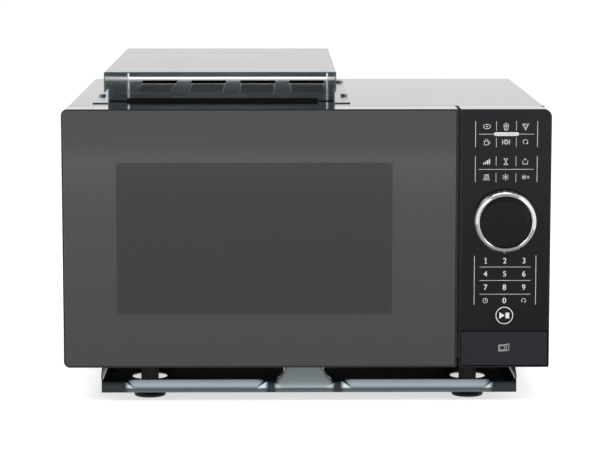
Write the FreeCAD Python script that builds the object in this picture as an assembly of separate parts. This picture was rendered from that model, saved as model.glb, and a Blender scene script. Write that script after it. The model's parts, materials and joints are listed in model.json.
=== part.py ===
"""Countertop microwave oven on a stamped mounting tray, with an exhaust duct on its top.

Millimetres. +Z is up, the front faces -Y and +X is to the right of someone facing it. The origin is on
the floor, at the middle of the whole oven's box. Depths are measured back from the front glass.
"""

import FreeCAD
import Part
import math
import os

from FreeCAD import Vector

# ---------------------------------------------------------------- driving dimensions

# Front frame and body
width = 485.0
front_height = 259.0
foot_height = 37.5
body_depth = 415.0
door_depth = 40.0
dial_stand_out = 14.0
sheet = 0.8
fit = 0.15
case_inset = 2.5
case_raise = 3.0
case_corner = 3.0
flange = 12.0

# Door
door_width = 392.5
door_gap = 2.8
door_seal_gap = 2.0
door_wall = 2.5
door_corner = 6.0
glass_thickness = 3.2
glass_inset = 1.6
glass_bevel = 0.4
glass_ledge = 7.0
bezel_setback = 0.5
window_width = 274.0
window_height = 152.0
window_from_left = 53.7
window_from_bottom = 54.0
window_corner = 4.0
hinge_from_left = 6.5
hinge_from_back = 12.5
hinge_pin_radius = 2.5
hinge_pin_length = 9.0
hinge_drop = 16.0
hinge_tab = 1.6
tab_half_width = 5.5
tab_room = 1.2
bush_wall = 1.5
bush_flange = 0.8
running = 0.05
choke_edge = 16.0
choke_column = 32.0
choke_front = 12.0
choke_flange = 30.0
choke_sheet = 1.0
screen_thickness = 0.5
inner_panel_thickness = 1.2
cover_thickness = 3.7

# Latch and its catches
latch_from_right = 18.0
latch_width = 10.0
latch_depth = 12.0
latch_front = 16.0
latch_low = 40.0
latch_high = 225.0
hook_width = 6.0
hook_height = 8.0
hook_nose = 5.0
hook_nose_length = 6.0
hook_reach = 21.0
hook_low = 54.0
hook_high = 200.0
latch_travel = 3.3
slot_room = 1.5
swing_room = 4.0
catch_gap = 0.4
catch_depth = (5.0, 9.0)
latch_spring_radius = 3.2
latch_spring_room = 15.0
latch_spring_turns = 5
wire_radius = 0.4

# Oven cavity
cavity_width = 315.0
cavity_height = 208.0
cavity_depth = 330.0
port_width = 60.0
port_height = 34.0

# Turntable
motor_radius = 24.0
motor_height = 15.0
spindle_radius = 3.0
coupler_radius = 17.0
coupler_height = 6.0
roller_radius = 7.0
roller_width = 5.0
roller_circle = 92.0
roller_count = 3
tray_radius = 135.0
tray_glass = 4.0
tray_rim = 10.0

# Control panel
panel_wall = 2.0
panel_corner = 8.0
fascia_inset = 1.0
fascia_thickness = 2.0
fascia_bevel = 0.4
housing_front = 4.5
button_height = 35.4
button_edge = 1.1
button_gap = 0.6
button_thickness = 3.0
button_corner = 2.0
button_bevel = 0.7
button_travel = 5.0
button_spring_radius = 6.2
button_spring_turns = 6
push_rod_radius = 4.0
push_rod_height = 20.5
push_rod_from_left = 11.0
guide_wall_depth = 26.0
board_depth = 24.0
board_thickness = 1.6
board_margin = 6.0
boss_radius = 3.5

# Dial round the display
dial_from_top = 111.3
dial_shift = 0.9
dial_radius = 31.8
dial_bore = 25.8
carrier_radius = 28.0
carrier_bore = 26.2
carrier_flange = 30.0
display_radius = 25.3
display_wall = 2.0
gear_module = 1.0
dial_teeth = 60
pinion_teeth = 20
gear_depth = 9.0
gear_width = 4.0
encoder_side = 12.0

# Release lever
lever_pivot_depth = 9.0
lever_shaft_radius = 3.0
lever_arm = 14.0
lever_finger = 11.5
lever_tip_radius = 1.5
lever_play = 0.35

# Microwave source and its supply
waveguide_reach = 38.0
waveguide_height = 80.0
waveguide_length = 130.0
waveguide_from_face = 150.0
waveguide_from_floor = 88.0
yoke_length = 60.0
yoke_depth = 78.0
yoke_height = 88.0
yoke_wall = 1.6
anode_radius = 19.0
fin_count = 6
fin_thickness = 0.8
antenna_radius = 8.0
antenna_length = 26.0
filter_box_depth = 26.0
core_width = 96.0
core_depth = 60.0
core_height = 80.0
core_leg = 12.0
winding_build = 14.0
transformer_from_face = 95.0
capacitor_width = 52.0
capacitor_height = 34.0
capacitor_length = 95.0
capacitor_from_face = 178.0
strap = 1.2

# Cooling fan and lamp
fan_from_face = 318.0
fan_hole_radius = 56.0
fan_blade_radius = 52.0
fan_hub_radius = 12.0
fan_blades = 5
fan_thickness = 14.0
fan_shaft_radius = 2.0
fan_motor_side = 56.0
fan_motor_depth = 18.0
lamp_from_face = 80.0
bulb_radius = 9.0
bulb_length = 34.0

# Exhaust duct
duct_height = 36.0
duct_width = 230.0
duct_from_left = 42.0
duct_from_front = 12.0
duct_length = 388.0
duct_sheet = 1.0
duct_fold = 1.3
duct_notch_length = 56.0
duct_notch_height = 16.0
duct_flange = 15.5
duct_rear_gap = 3.4
duct_corner_slit = 1.0
duct_screws = (153.0, 344.0)
vent_count = 4
vent_width = 39.4
vent_pitch = 55.4
vent_first = 61.0
vent_front = 200.0
vent_length = 178.0
duct_floor_front = 97.0
duct_floor_lip = 2.4

# Mounting tray and feet
base_shift = 2.8
foot_spacing = 324.0
front_foot = 10.0
rear_foot = 326.0
foot_radius = 9.0
foot_peg_radius = 4.0
foot_disc_radius = 16.0
foot_disc = 3.5
tray_width = 420.0
tray_level = 20.0
tray_sheet = 1.0
tray_lip_depth = 15.0
tray_lip_bottom = 9.3
tray_back = 392.0
tray_hole_radius = 18.0
tray_fixing_across = 260.0
tray_fixing_deep = 220.0
tray_fixing_from_front = 205.0
tray_fixing_radius = 2.5
tray_side_slope = 30.0
tray_tabs = (86.0, 280.0)
bead_drop = 6.0
bead_run = 14.0
bead_near = 40.5
bead_far = 182.0
ramp_shift = 4.8
ramp_half_width = 26.0
ramp_start = 22.0
ramp_end = 62.0
ramp_pad = 30.0

# Fasteners
screw_radius = 2.0
screw_head_radius = 3.6
screw_head = 2.2
screw_length = 7.0

# ---------------------------------------------------------------- places worked out from them

total_depth = dial_stand_out + body_depth + screw_head
front = dial_stand_out - total_depth / 2
face = front + door_depth
rear = front + body_depth
left, right = -width / 2, width / 2
bottom = foot_height
top = bottom + front_height

door_right = left + door_width
door_back = face - door_seal_gap
panel_left = door_right + door_gap
glass_back = front + glass_thickness

case_left, case_right = left + case_inset, right - case_inset
case_bottom = bottom + case_raise
inner_left, inner_right = case_left + sheet + fit, case_right - sheet - fit
inner_top = top - sheet - fit
base_top = case_bottom + sheet
rear_panel_back = rear - sheet
rear_panel_front = rear_panel_back - sheet

window_x = left + window_from_left + window_width / 2
window_z = bottom + window_from_bottom + window_height / 2
cavity_left, cavity_right = window_x - cavity_width / 2, window_x + cavity_width / 2
cavity_floor, cavity_roof = window_z - cavity_height / 2, window_z + cavity_height / 2
cavity_front = face + sheet
cavity_back = cavity_front + cavity_depth
turntable_y = cavity_front + cavity_depth / 2
bay_left = cavity_right + sheet

hinge_x = left + hinge_from_left
hinge_y = door_back - hinge_from_back
hinge_tabs = (bottom + hinge_drop, top - hinge_drop - hinge_tab)

latch_x = door_right - latch_from_right
latch_bottom, latch_top = bottom + latch_low, bottom + latch_high
hooks = (bottom + hook_low, bottom + hook_high)
hook_tip = face + hook_reach
holder_x = latch_x + hook_width / 2 + swing_room + slot_room

dial_x = (panel_left + right) / 2 - dial_shift
dial_z = top - dial_from_top
board_y = front + board_depth
pinion_z = dial_z - gear_module * (dial_teeth + pinion_teeth) / 2
button_top = bottom + button_edge + button_height
fascia_bottom = button_top + button_gap
push_rod_x = panel_left + push_rod_from_left
push_rod_z = bottom + push_rod_height
lever_y = face + lever_pivot_depth
lever_z = push_rod_z + lever_arm

waveguide_y = face + waveguide_from_face
waveguide_z = cavity_floor + waveguide_from_floor
waveguide_right = bay_left + waveguide_reach
magnetron_y = waveguide_y + waveguide_length - yoke_depth / 2
magnetron_z = waveguide_z + waveguide_height / 2
yoke_right = waveguide_right + yoke_length
bay_x = (bay_left + inner_right) / 2

fan_y = face + fan_from_face
fan_z = magnetron_z
roller_z = cavity_floor + roller_radius
tray_z = cavity_floor + 2 * roller_radius

duct_left = left + duct_from_left
duct_right = duct_left + duct_width
duct_front = front + duct_from_front
duct_back = duct_front + duct_length
duct_top = top + duct_height

foot_places = [
    (base_shift + side * foot_spacing / 2, face + depth)
    for depth in (front_foot, rear_foot)
    for side in (-1, 1)
]
tray_left, tray_right = base_shift - tray_width / 2, base_shift + tray_width / 2
ramp_middle = base_shift - ramp_shift


# ---------------------------------------------------------------- building blocks


def block(x, y, z):
    """A box between two limits on each axis."""
    corner = Vector(x[0], y[0], z[0])
    return Part.makeBox(x[1] - x[0], y[1] - y[0], z[1] - z[0], corner)


def rod(axis, centre, radius, low, high):
    """A cylinder along an axis, between two places on it. centre holds the other two coordinates."""
    a, b = centre
    start, direction = {
        "X": (Vector(low, a, b), Vector(1, 0, 0)),
        "Y": (Vector(a, low, b), Vector(0, 1, 0)),
        "Z": (Vector(a, b, low), Vector(0, 0, 1)),
    }[axis]
    return Part.makeCylinder(radius, high - low, start, direction)


def tube(axis, centre, radius, bore, low, high):
    """A cylinder with a hole along it."""
    return rod(axis, centre, radius, low, high).cut(rod(axis, centre, bore, low - 1, high + 1))


def prism(points, plane, low, high):
    """An outline of (a, b) or (a, b, corner radius) points in a plane, carried from low to high."""
    place, along = {
        "XY": (lambda a, b: Vector(a, b, low), Vector(0, 0, high - low)),
        "XZ": (lambda a, b: Vector(a, low, b), Vector(0, high - low, 0)),
        "YZ": (lambda a, b: Vector(low, a, b), Vector(high - low, 0, 0)),
    }[plane]
    corners = [place(p[0], p[1]) for p in points]
    radii = [p[2] if len(p) > 2 else 0.0 for p in points]
    ends = []
    edges = []
    for i, corner in enumerate(corners):
        before = (corners[i - 1] - corner).normalize()
        after = (corners[(i + 1) % len(corners)] - corner).normalize()
        if radii[i] <= 0:
            ends.append((corner, corner))
            continue
        half = before.getAngle(after) / 2
        reach = radii[i] / math.tan(half)
        middle = corner + (before + after).normalize() * (radii[i] / math.sin(half) - radii[i])
        first, last = corner + before * reach, corner + after * reach
        ends.append((first, last))
        edges.append(Part.Arc(first, middle, last).toShape())
    for i, (first, last) in enumerate(ends):
        following = ends[(i + 1) % len(ends)][0]
        if last.distanceToPoint(following) > 1e-6:
            edges.append(Part.LineSegment(last, following).toShape())
    wire = Part.Wire(Part.__sortEdges__(edges))
    return Part.Face(wire).extrude(along)


def rectangle(a, b, radius=0.0):
    """The corners of a rectangle, for prism()."""
    return [(a[0], b[0], radius), (a[1], b[0], radius), (a[1], b[1], radius), (a[0], b[1], radius)]


def turned(profile, x, z):
    """A solid of revolution about the Y axis through x and z, from (radius, y) points."""
    points = [Vector(x + r, y, z) for r, y in profile]
    face_of = Part.Face(Part.makePolygon(points + points[:1]))
    return face_of.revolve(Vector(x, 0, z), Vector(0, 1, 0), 360)


def coil(radius, length, turns, start, axis):
    """A round-wire spring from start along an axis."""
    helix = Part.makeHelix(length / turns, length, radius)
    section = Part.Wire(Part.makeCircle(wire_radius, Vector(radius, 0, 0), Vector(0, 1, 0)))
    spring = Part.Wire(helix.Edges).makePipeShell([section], True, True)
    spring.Placement = FreeCAD.Placement(start, FreeCAD.Rotation(Vector(0, 0, 1), axis))
    return spring


def joined(*shapes):
    """One solid from touching ones."""
    whole = shapes[0].multiFuse(list(shapes[1:])) if len(shapes) > 1 else shapes[0]
    return whole.removeSplitter()


def group(*shapes):
    """Separate solids in one node."""
    return Part.makeCompound(list(shapes))


def less(shape, *tools):
    """A solid with all the tools cut from it."""
    return shape.cut(Part.makeCompound(list(tools)))


def front_edges(shape):
    """The edges round a plate's front face."""
    return [e for e in shape.Edges if abs(e.BoundBox.YMax - shape.BoundBox.YMin) < 1e-6]


def self_tapper(axis, centre, seat, way):
    """A pan-head screw whose head stands on a seat, with its shank going the other way."""
    a, b = centre
    head_low, head_high = sorted((seat, seat + way * screw_head))
    shank_low, shank_high = sorted((seat, seat - way * screw_length))
    head = rod(axis, centre, screw_head_radius, head_low, head_high)
    shank = rod(axis, centre, screw_radius, shank_low, shank_high)
    recess = screw_head / 2
    slot_low, slot_high = sorted((seat + way * recess, seat + way * (screw_head + 1)))
    cross = [
        {
            "X": lambda p, q: block((slot_low, slot_high), (a - p, a + p), (b - q, b + q)),
            "Y": lambda p, q: block((a - p, a + p), (slot_low, slot_high), (b - q, b + q)),
            "Z": lambda p, q: block((a - p, a + p), (b - q, b + q), (slot_low, slot_high)),
        }[axis](*half)
        for half in ((2.2, 0.4), (0.4, 2.2))
    ]
    return less(joined(head, shank), *cross)


def screw_hole(axis, centre, low, high):
    """The clearance hole for a self-tapper."""
    return rod(axis, centre, screw_radius + fit, low, high)


def gear(teeth, x, z, low, high, phase=0.0):
    """A spur gear about Y with straight-sided teeth, thinned so that a pair runs with backlash."""
    pitch = gear_module * teeth / 2
    tip, root = pitch + 0.8 * gear_module, pitch - 1.2 * gear_module
    half_pitch = 0.6 * gear_module / pitch
    slope = math.tan(math.radians(20))
    half_tip = half_pitch - slope * (tip - pitch) / pitch
    half_root = half_pitch + slope * (pitch - root) / pitch
    points = []
    for i in range(teeth):
        centre = 2 * math.pi * i / teeth + phase
        for radius, offset in (
            (root, -half_root), (tip, -half_tip), (tip, half_tip), (root, half_root),
        ):
            turn = centre + offset
            points.append((x + radius * math.cos(turn), z + radius * math.sin(turn)))
    return prism(points, "XZ", low, high)


# ---------------------------------------------------------------- door


def door_outline(inset):
    """The door's front outline, drawn in by an inset: round at the hinge side, square at the panel."""
    round_corner, square_corner = max(door_corner - inset, 1.0), max(1.5 - inset, 0.5)
    return [
        (left + inset, bottom + inset, round_corner),
        (door_right - inset, bottom + inset, square_corner),
        (door_right - inset, top - inset, square_corner),
        (left + inset, top - inset, round_corner),
    ]


def window_outline(margin):
    """The window's outline, grown by a margin."""
    half_width, half_height = window_width / 2 + margin, window_height / 2 + margin
    return rectangle(
        (window_x - half_width, window_x + half_width),
        (window_z - half_height, window_z + half_height),
        window_corner,
    )


def case_lining(inset):
    """The outline of a panel that fills the case, drawn in by an inset: its upper corners are round."""
    corner = case_corner - sheet - inset
    return [
        (inner_left + inset, case_bottom + inset), (inner_right - inset, case_bottom + inset),
        (inner_right - inset, inner_top - inset, corner), (inner_left + inset, inner_top - inset, corner),
    ]


def latch_slots(low, high):
    """The room that both latch hooks need to pass through a wall between two depths."""
    reach = (latch_x - hook_width / 2 - slot_room, holder_x - slot_room)
    return [
        block(reach, (low, high), (z - hook_nose - slot_room, z + hook_height + latch_travel + slot_room))
        for z in hooks
    ]


def hinge_pockets():
    """Where the fixed hinge tabs sweep through the door's rear left corner as it opens."""
    return [
        block(
            (left - 1, hinge_x + tab_half_width + tab_room),
            (hinge_y - hinge_from_left - tab_half_width, door_back + 1),
            (z - tab_room, z + hinge_tab + tab_room),
        )
        for z in hinge_tabs
    ]


def bush_bottom(tab):
    """The underside of the bush that stands on a hinge tab."""
    return tab + hinge_tab + fit


def latch_guides():
    """Shelves in the door that stop, steer and load the latch bar."""
    shelf = 3.0
    wall = door_right - door_wall
    side = (latch_x + latch_width / 2 + 2 * fit, wall)
    across = (latch_x - latch_width / 2, wall)
    depth = (front + latch_front - 2, front + latch_front + latch_depth)
    stops = [
        block(across, depth, (latch_bottom - 2 * fit - shelf, latch_bottom - 2 * fit)),
        block(across, depth, (latch_top + latch_spring_room, latch_top + latch_spring_room + shelf)),
    ]
    rails = [block(side, depth, (z, z + shelf)) for z in (latch_bottom + 35, latch_top - 35)]
    return stops + rails


def door_bezel():
    shell = prism(door_outline(0), "XZ", front + bezel_setback, door_back)
    pocket = prism(door_outline(glass_inset - fit), "XZ", front - 1, glass_back)
    opening = prism(door_outline(glass_inset + glass_ledge), "XZ", front - 1, door_back + 1)
    hollow = prism(door_outline(door_wall), "XZ", glass_back + 2, door_back + 1)
    body = less(shell, pocket, opening, hollow)
    boss_radius_here = hinge_pin_radius + running + bush_wall + 2.5
    bosses = []
    bores = []
    for tab in hinge_tabs:
        low = bush_bottom(tab) + bush_flange
        high = low + hinge_pin_length
        bosses.append(
            block((left + 1, hinge_x + boss_radius_here), (hinge_y - 6, hinge_y + 6), (low, high))
        )
        bores.append(
            rod("Z", (hinge_x, hinge_y), hinge_pin_radius + running + bush_wall, low - 1, high - 1.5)
        )
    body = joined(body, *bosses, *latch_guides())
    return less(body, *hinge_pockets(), *bores)


def door_glass():
    glass = prism(door_outline(glass_inset), "XZ", front, glass_back)
    return glass.makeChamfer(glass_bevel, front_edges(glass))


def door_choke_frame():
    """A pressed steel channel round the window, with the flange that carries the screen."""
    across = (left + choke_edge, door_right - choke_column)
    up = (bottom + choke_edge - 4, top - choke_edge + 4)
    t = choke_sheet

    def ring(inset, low, high):
        return prism(
            rectangle((across[0] + inset, across[1] - inset), (up[0] + inset, up[1] - inset), 3.0),
            "XZ", low, high,
        )

    flange_depth = front + choke_flange
    outer = ring(0, front + choke_front, flange_depth + 4)
    channel = ring(t, front + choke_front + t, flange_depth + 5).cut(
        prism(window_outline(12 + t), "XZ", front, flange_depth)
    )
    return less(
        outer,
        channel,
        prism(window_outline(12), "XZ", front, flange_depth - t),
        prism(window_outline(0), "XZ", front, flange_depth + 5),
    )


def door_screen():
    low = front + choke_flange
    return prism(window_outline(10), "XZ", low, low + screen_thickness)


def door_inner_panel():
    low = front + choke_flange + screen_thickness
    return prism(window_outline(11), "XZ", low, low + inner_panel_thickness)


def door_choke_cover():
    seat = front + choke_flange + screen_thickness + inner_panel_thickness
    plate = prism(door_outline(door_wall + fit), "XZ", door_back - cover_thickness, door_back)
    collar = prism(window_outline(11), "XZ", seat, door_back)
    cover = joined(plate, collar)
    cover = less(
        cover,
        prism(window_outline(5), "XZ", seat - 1, door_back + 1),
        *latch_slots(seat - 1, door_back + 1),
        *hinge_pockets(),
    )
    return cover


def door_latch():
    """One sliding bar with two hooks that reach back through the face plate."""
    bar = block(
        (latch_x - latch_width / 2, latch_x + latch_width / 2),
        (front + latch_front, front + latch_front + latch_depth),
        (latch_bottom, latch_top),
    )
    hook_sides = (latch_x - hook_width / 2, latch_x + hook_width / 2)
    start = front + latch_front + latch_depth
    pieces = [bar]
    for z in hooks:
        outline = [
            (start, z), (hook_tip - hook_nose_length, z),
            (hook_tip - hook_nose_length, z - hook_nose), (hook_tip - 2, z - hook_nose),
            (hook_tip, z - hook_nose / 2), (hook_tip, z + hook_height / 2),
            (hook_tip - 5, z + hook_height), (start, z + hook_height),
        ]
        pieces.append(prism(outline, "YZ", *hook_sides))
    return joined(*pieces)


def latch_spring():
    seat = Vector(latch_x, front + latch_front + latch_depth / 2, latch_top + wire_radius + fit)
    length = latch_spring_room - 2 * (wire_radius + fit)
    return coil(latch_spring_radius, length, latch_spring_turns, seat, Vector(0, 0, 1))


def hinge_bushes():
    """A flanged sleeve in each door boss, standing on its hinge tab."""
    bore = hinge_pin_radius + running
    sleeves = []
    for tab in hinge_tabs:
        low = bush_bottom(tab)
        collar = rod("Z", (hinge_x, hinge_y), bore + bush_wall + 1, low, low + bush_flange)
        sleeve = rod("Z", (hinge_x, hinge_y), bore + bush_wall, low, low + hinge_pin_length - 1)
        hole = rod("Z", (hinge_x, hinge_y), bore, low - 1, low + hinge_pin_length + 1)
        sleeves.append(joined(collar, sleeve).cut(hole))
    return group(*sleeves)


# ---------------------------------------------------------------- face plate and hinges


def bracket_flange(tab):
    """Height limits of the hinge bracket's upright flange, behind the face plate."""
    return (tab, tab + 22.0) if tab < window_z else (tab + hinge_tab - 22.0, tab + hinge_tab)


def front_plate():
    plate = prism(case_lining(0), "XZ", face, face + sheet)
    rim = less(
        prism(case_lining(0), "XZ", face, face + flange),
        prism(case_lining(sheet), "XZ", face - 1, face + flange + 1),
        block((inner_left - 1, inner_right + 1), (face - 1, face + flange + 1), (case_bottom - 1, base_top)),
    )
    mouth = prism(
        rectangle((cavity_left, cavity_right), (cavity_floor, cavity_roof), 2.0), "XZ", face - 1, face + 2
    )
    tab_slots = [
        block(
            (hinge_x - tab_half_width - fit, hinge_x + tab_half_width + fit),
            (face - 1, face + 2),
            (z - fit, z + hinge_tab + fit),
        )
        for z in hinge_tabs
    ]
    wiring = prism(
        rectangle((panel_left + 8, right - 14), (fascia_bottom + 6, top - 24), 4.0), "XZ", face - 1, face + 2
    )
    push_hole = rod("Y", (push_rod_x, push_rod_z), push_rod_radius + 1, face - 1, face + 2)
    return less(joined(plate, rim), mouth, wiring, push_hole, *tab_slots, *latch_slots(face - 1, face + 2))


def hinge_brackets():
    """Two pressed brackets: a flange welded behind the face plate and a tab through it, with a pin hole."""
    brackets = []
    back = face + sheet
    edge = inner_left + sheet + fit
    for tab in hinge_tabs:
        upright = block((edge, hinge_x + tab_half_width + 6), (back, back + hinge_tab), bracket_flange(tab))
        round_end = rod("Z", (hinge_x, hinge_y), tab_half_width, tab, tab + hinge_tab)
        neck = block((edge, hinge_x + tab_half_width), (hinge_y, back + hinge_tab), (tab, tab + hinge_tab))
        hole = rod("Z", (hinge_x, hinge_y), hinge_pin_radius, tab - 1, tab + hinge_tab + 1)
        brackets.append(joined(upright, round_end, neck).cut(hole))
    return group(*brackets)


def hinge_pins():
    """The pins riveted in the tabs, each with a head under its tab."""
    pins = []
    for tab in hinge_tabs:
        head = rod("Z", (hinge_x, hinge_y), hinge_pin_radius + 1, tab - 0.8, tab)
        pin_top = bush_bottom(tab) + hinge_pin_length - 2
        pins.append(joined(head, rod("Z", (hinge_x, hinge_y), hinge_pin_radius, tab, pin_top)))
    return group(*pins)


# ---------------------------------------------------------------- oven cavity and turntable


def hole_grid(axis, middle, columns, rows, pitch, radius, low, high):
    """A grid of round holes."""
    return [
        rod(
            axis,
            (middle[0] + (i - (columns - 1) / 2) * pitch, middle[1] + (j - (rows - 1) / 2) * pitch),
            radius, low, high,
        )
        for i in range(columns)
        for j in range(rows)
    ]


def port_middle():
    """Depth and height of the middle of the microwave port in the cavity's right wall."""
    return waveguide_y + 12 + port_width / 2, waveguide_z + waveguide_height / 2


def cavity_liner():
    """The enamelled oven: five sheets seam-welded at their edges, open to the face plate."""
    depth = (cavity_front, cavity_back)
    height = (cavity_floor, cavity_roof)
    across = (cavity_left - sheet, cavity_right + sheet)
    whole_depth = (cavity_front, cavity_back + sheet)
    port_y, port_z = port_middle()
    wall = (cavity_right - 1, bay_left + 1)
    port = block(
        wall, (port_y - port_width / 2, port_y + port_width / 2),
        (port_z - port_height / 2, port_z + port_height / 2),
    )
    lamp_holes = hole_grid(
        "X", (face + lamp_from_face + bulb_length / 2, cavity_roof - 28), 4, 3, 7.0, 2.0, *wall
    )
    vent_holes = hole_grid(
        "Z", (cavity_left + 70, cavity_back - 60), 6, 3, 9.0, 2.5, cavity_roof - 1, cavity_roof + 2
    )
    spindle = rod("Z", (window_x, turntable_y), spindle_radius + 3, cavity_floor - 2, cavity_floor + 1)
    left_wall = block((cavity_left - sheet, cavity_left), depth, height)
    right_wall = block((cavity_right, cavity_right + sheet), depth, height)
    back_wall = block(across, (cavity_back, cavity_back + sheet), height)
    floor = block(across, whole_depth, (cavity_floor - sheet, cavity_floor))
    roof = block(across, whole_depth, (cavity_roof, cavity_roof + sheet))
    return group(
        left_wall, back_wall, less(right_wall, port, *lamp_holes),
        less(floor, spindle), less(roof, *vent_holes),
    )


def waveguide_cover():
    """The mica sheet over the port, on the inside of the cavity wall."""
    port_y, port_z = port_middle()
    outline = rectangle(
        (port_y - port_width / 2 - 10, port_y + port_width / 2 + 10),
        (port_z - port_height / 2 - 10, port_z + port_height / 2 + 10), 4.0,
    )
    return prism(outline, "YZ", cavity_right - 0.5, cavity_right)


def turntable_motor():
    """A flat synchronous motor hung under the cavity floor, with two ears."""
    high = cavity_floor - sheet
    can = rod("Z", (window_x, turntable_y), motor_radius, high - motor_height, high)
    ears = block(
        (window_x - motor_radius - 9, window_x + motor_radius + 9), (turntable_y - 5, turntable_y + 5),
        (high - 1.5, high),
    )
    tail = block(
        (window_x - 9, window_x + 9), (turntable_y - motor_radius - 8, turntable_y),
        (high - motor_height + 2, high - 3),
    )
    bore = rod("Z", (window_x, turntable_y), spindle_radius + running, high - motor_height + 3, high + 1)
    return joined(can, ears, tail).cut(bore)


def turntable_coupler():
    """The moulded drive hub on its spindle, with three lobes that key into the glass tray."""
    high = tray_z - fit
    spindle_low = cavity_floor - sheet - motor_height + 4
    spindle = rod("Z", (window_x, turntable_y), spindle_radius, spindle_low, high)
    hub_low = cavity_floor + 1.0
    hub = rod("Z", (window_x, turntable_y), spindle_radius + 4, hub_low, high)
    lobes = []
    for i in range(3):
        lobe = prism(
            rectangle((window_x, window_x + coupler_radius), (turntable_y - 4, turntable_y + 4), 2.0),
            "XY", high - coupler_height, high,
        )
        lobe.rotate(Vector(window_x, turntable_y, 0), Vector(0, 0, 1), 120 * i + 30)
        lobes.append(lobe)
    return joined(spindle, hub, *lobes)


def roller_angle(i):
    return math.radians(360 / roller_count * i + 90)


def roller_ring():
    """The moulded ring that carries the rollers on three stub axles."""
    bar = 5.0
    outer, inner = roller_circle - roller_width / 2 - 1, roller_circle - roller_width / 2 - 1 - 8
    middle = roller_z
    ring = tube("Z", (window_x, turntable_y), outer, inner, middle - bar / 2, middle + bar / 2)
    spokes = []
    for i in range(roller_count):
        reach = Vector(math.cos(roller_angle(i)), math.sin(roller_angle(i)), 0)
        hub_end = Vector(window_x, turntable_y, middle) + reach * (inner + 2)
        axle = Part.makeCylinder(1.8, roller_circle + roller_width / 2 + 1 - inner - 2, hub_end, reach)
        cap = Part.makeCylinder(
            2.8, 1.2,
            Vector(window_x, turntable_y, middle) + reach * (roller_circle + roller_width / 2 + 0.5), reach,
        )
        spokes += [axle, cap]
    return joined(ring, *spokes)


def roller_wheel(i):
    reach = Vector(math.cos(roller_angle(i)), math.sin(roller_angle(i)), 0)
    start = Vector(window_x, turntable_y, roller_z) + reach * (roller_circle - roller_width / 2)
    wheel = Part.makeCylinder(roller_radius - running, roller_width, start, reach)
    wheel = wheel.makeFillet(0.8, [e for e in wheel.Edges if isinstance(e.Curve, Part.Circle)])
    return wheel.cut(Part.makeCylinder(1.8 + running, roller_width + 2, start - reach, reach))


def glass_tray():
    """The dished glass turntable, standing on the rollers, with a keyed boss under it."""
    low, high = tray_z, tray_z + tray_glass
    profile = [
        (0, low), (tray_radius - 22, low),
        (tray_radius - 6, low + tray_rim - 3), (tray_radius, low + tray_rim),
        (tray_radius, low + tray_rim + tray_glass), (tray_radius - 6, low + tray_rim - 3 + tray_glass),
        (tray_radius - 24, high), (0, high),
    ]
    points = [Vector(window_x + r, turntable_y, z) for r, z in profile]
    outline = Part.Face(Part.makePolygon(points + points[:1]))
    return outline.revolve(Vector(window_x, turntable_y, 0), Vector(0, 0, 1), 360)


# ---------------------------------------------------------------- microwave source and its supply


def waveguide():
    x = (bay_left, waveguide_right)
    y = (waveguide_y, waveguide_y + waveguide_length)
    z = (waveguide_z, waveguide_z + waveguide_height)
    hollow = block((x[0] - 1, x[1] - sheet), (y[0] + sheet, y[1] - sheet), (z[0] + sheet, z[1] - sheet))
    antenna = rod("X", (magnetron_y, magnetron_z), antenna_radius + 3, x[1] - 2, x[1] + 1)
    return less(block(x, y, z), hollow, antenna)


def magnetron_yoke():
    """The steel frame of the magnetron, open front and back for cooling air."""
    x = (waveguide_right, yoke_right)
    y = (magnetron_y - yoke_depth / 2, magnetron_y + yoke_depth / 2)
    z = (magnetron_z - yoke_height / 2, magnetron_z + yoke_height / 2)
    w = yoke_wall
    hollow = block((x[0] + w, x[1] - w), (y[0] - 1, y[1] + 1), (z[0] + w, z[1] - w))
    antenna = rod("X", (magnetron_y, magnetron_z), antenna_radius + 3, x[0] - 1, x[0] + w + 1)
    leads = rod("X", (magnetron_y, magnetron_z), 12.0, x[1] - w - 1, x[1] + 1)
    return less(block(x, y, z), hollow, antenna, leads)


def magnetron_anode():
    """Anode block, ring magnets and cooling fins, pressed together."""
    low, high = waveguide_right + yoke_wall, yoke_right - yoke_wall
    centre = (magnetron_y, magnetron_z)
    anode = rod("X", centre, anode_radius, low, high)
    magnets = [rod("X", centre, 27.0, low, low + 11), rod("X", centre, 27.0, high - 11, high)]
    span = high - low - 26
    fin_reach = yoke_height / 2 - yoke_wall - fit
    fins = [
        block(
            (low + 13 + span * i / (fin_count - 1), low + 13 + span * i / (fin_count - 1) + fin_thickness),
            (magnetron_y - yoke_depth / 2 + 3, magnetron_y + yoke_depth / 2 - 3),
            (magnetron_z - fin_reach, magnetron_z + fin_reach),
        )
        for i in range(fin_count)
    ]
    return joined(anode, *magnets, *fins)


def magnetron_antenna():
    """Ceramic neck and copper cap, reaching into the waveguide."""
    base = waveguide_right + yoke_wall
    neck = rod("X", (magnetron_y, magnetron_z), antenna_radius, base - antenna_length + 8, base)
    cap = rod("X", (magnetron_y, magnetron_z), antenna_radius - 1.5, base - antenna_length, base - 2)
    return joined(neck, cap)


def magnetron_filter_box():
    x = (yoke_right, yoke_right + filter_box_depth)
    y = (magnetron_y - 26, magnetron_y + 26)
    z = (magnetron_z - 34, magnetron_z + 20)
    box = block(x, y, z)
    lugs = [
        block((x[0] + 10, x[0] + 10.8), (y[0] - 8, y[0]), (z[0] + d, z[0] + d + 6.3)) for d in (10.0, 24.0)
    ]
    return joined(box, *lugs)


def transformer_middle():
    return bay_x, face + transformer_from_face


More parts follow.
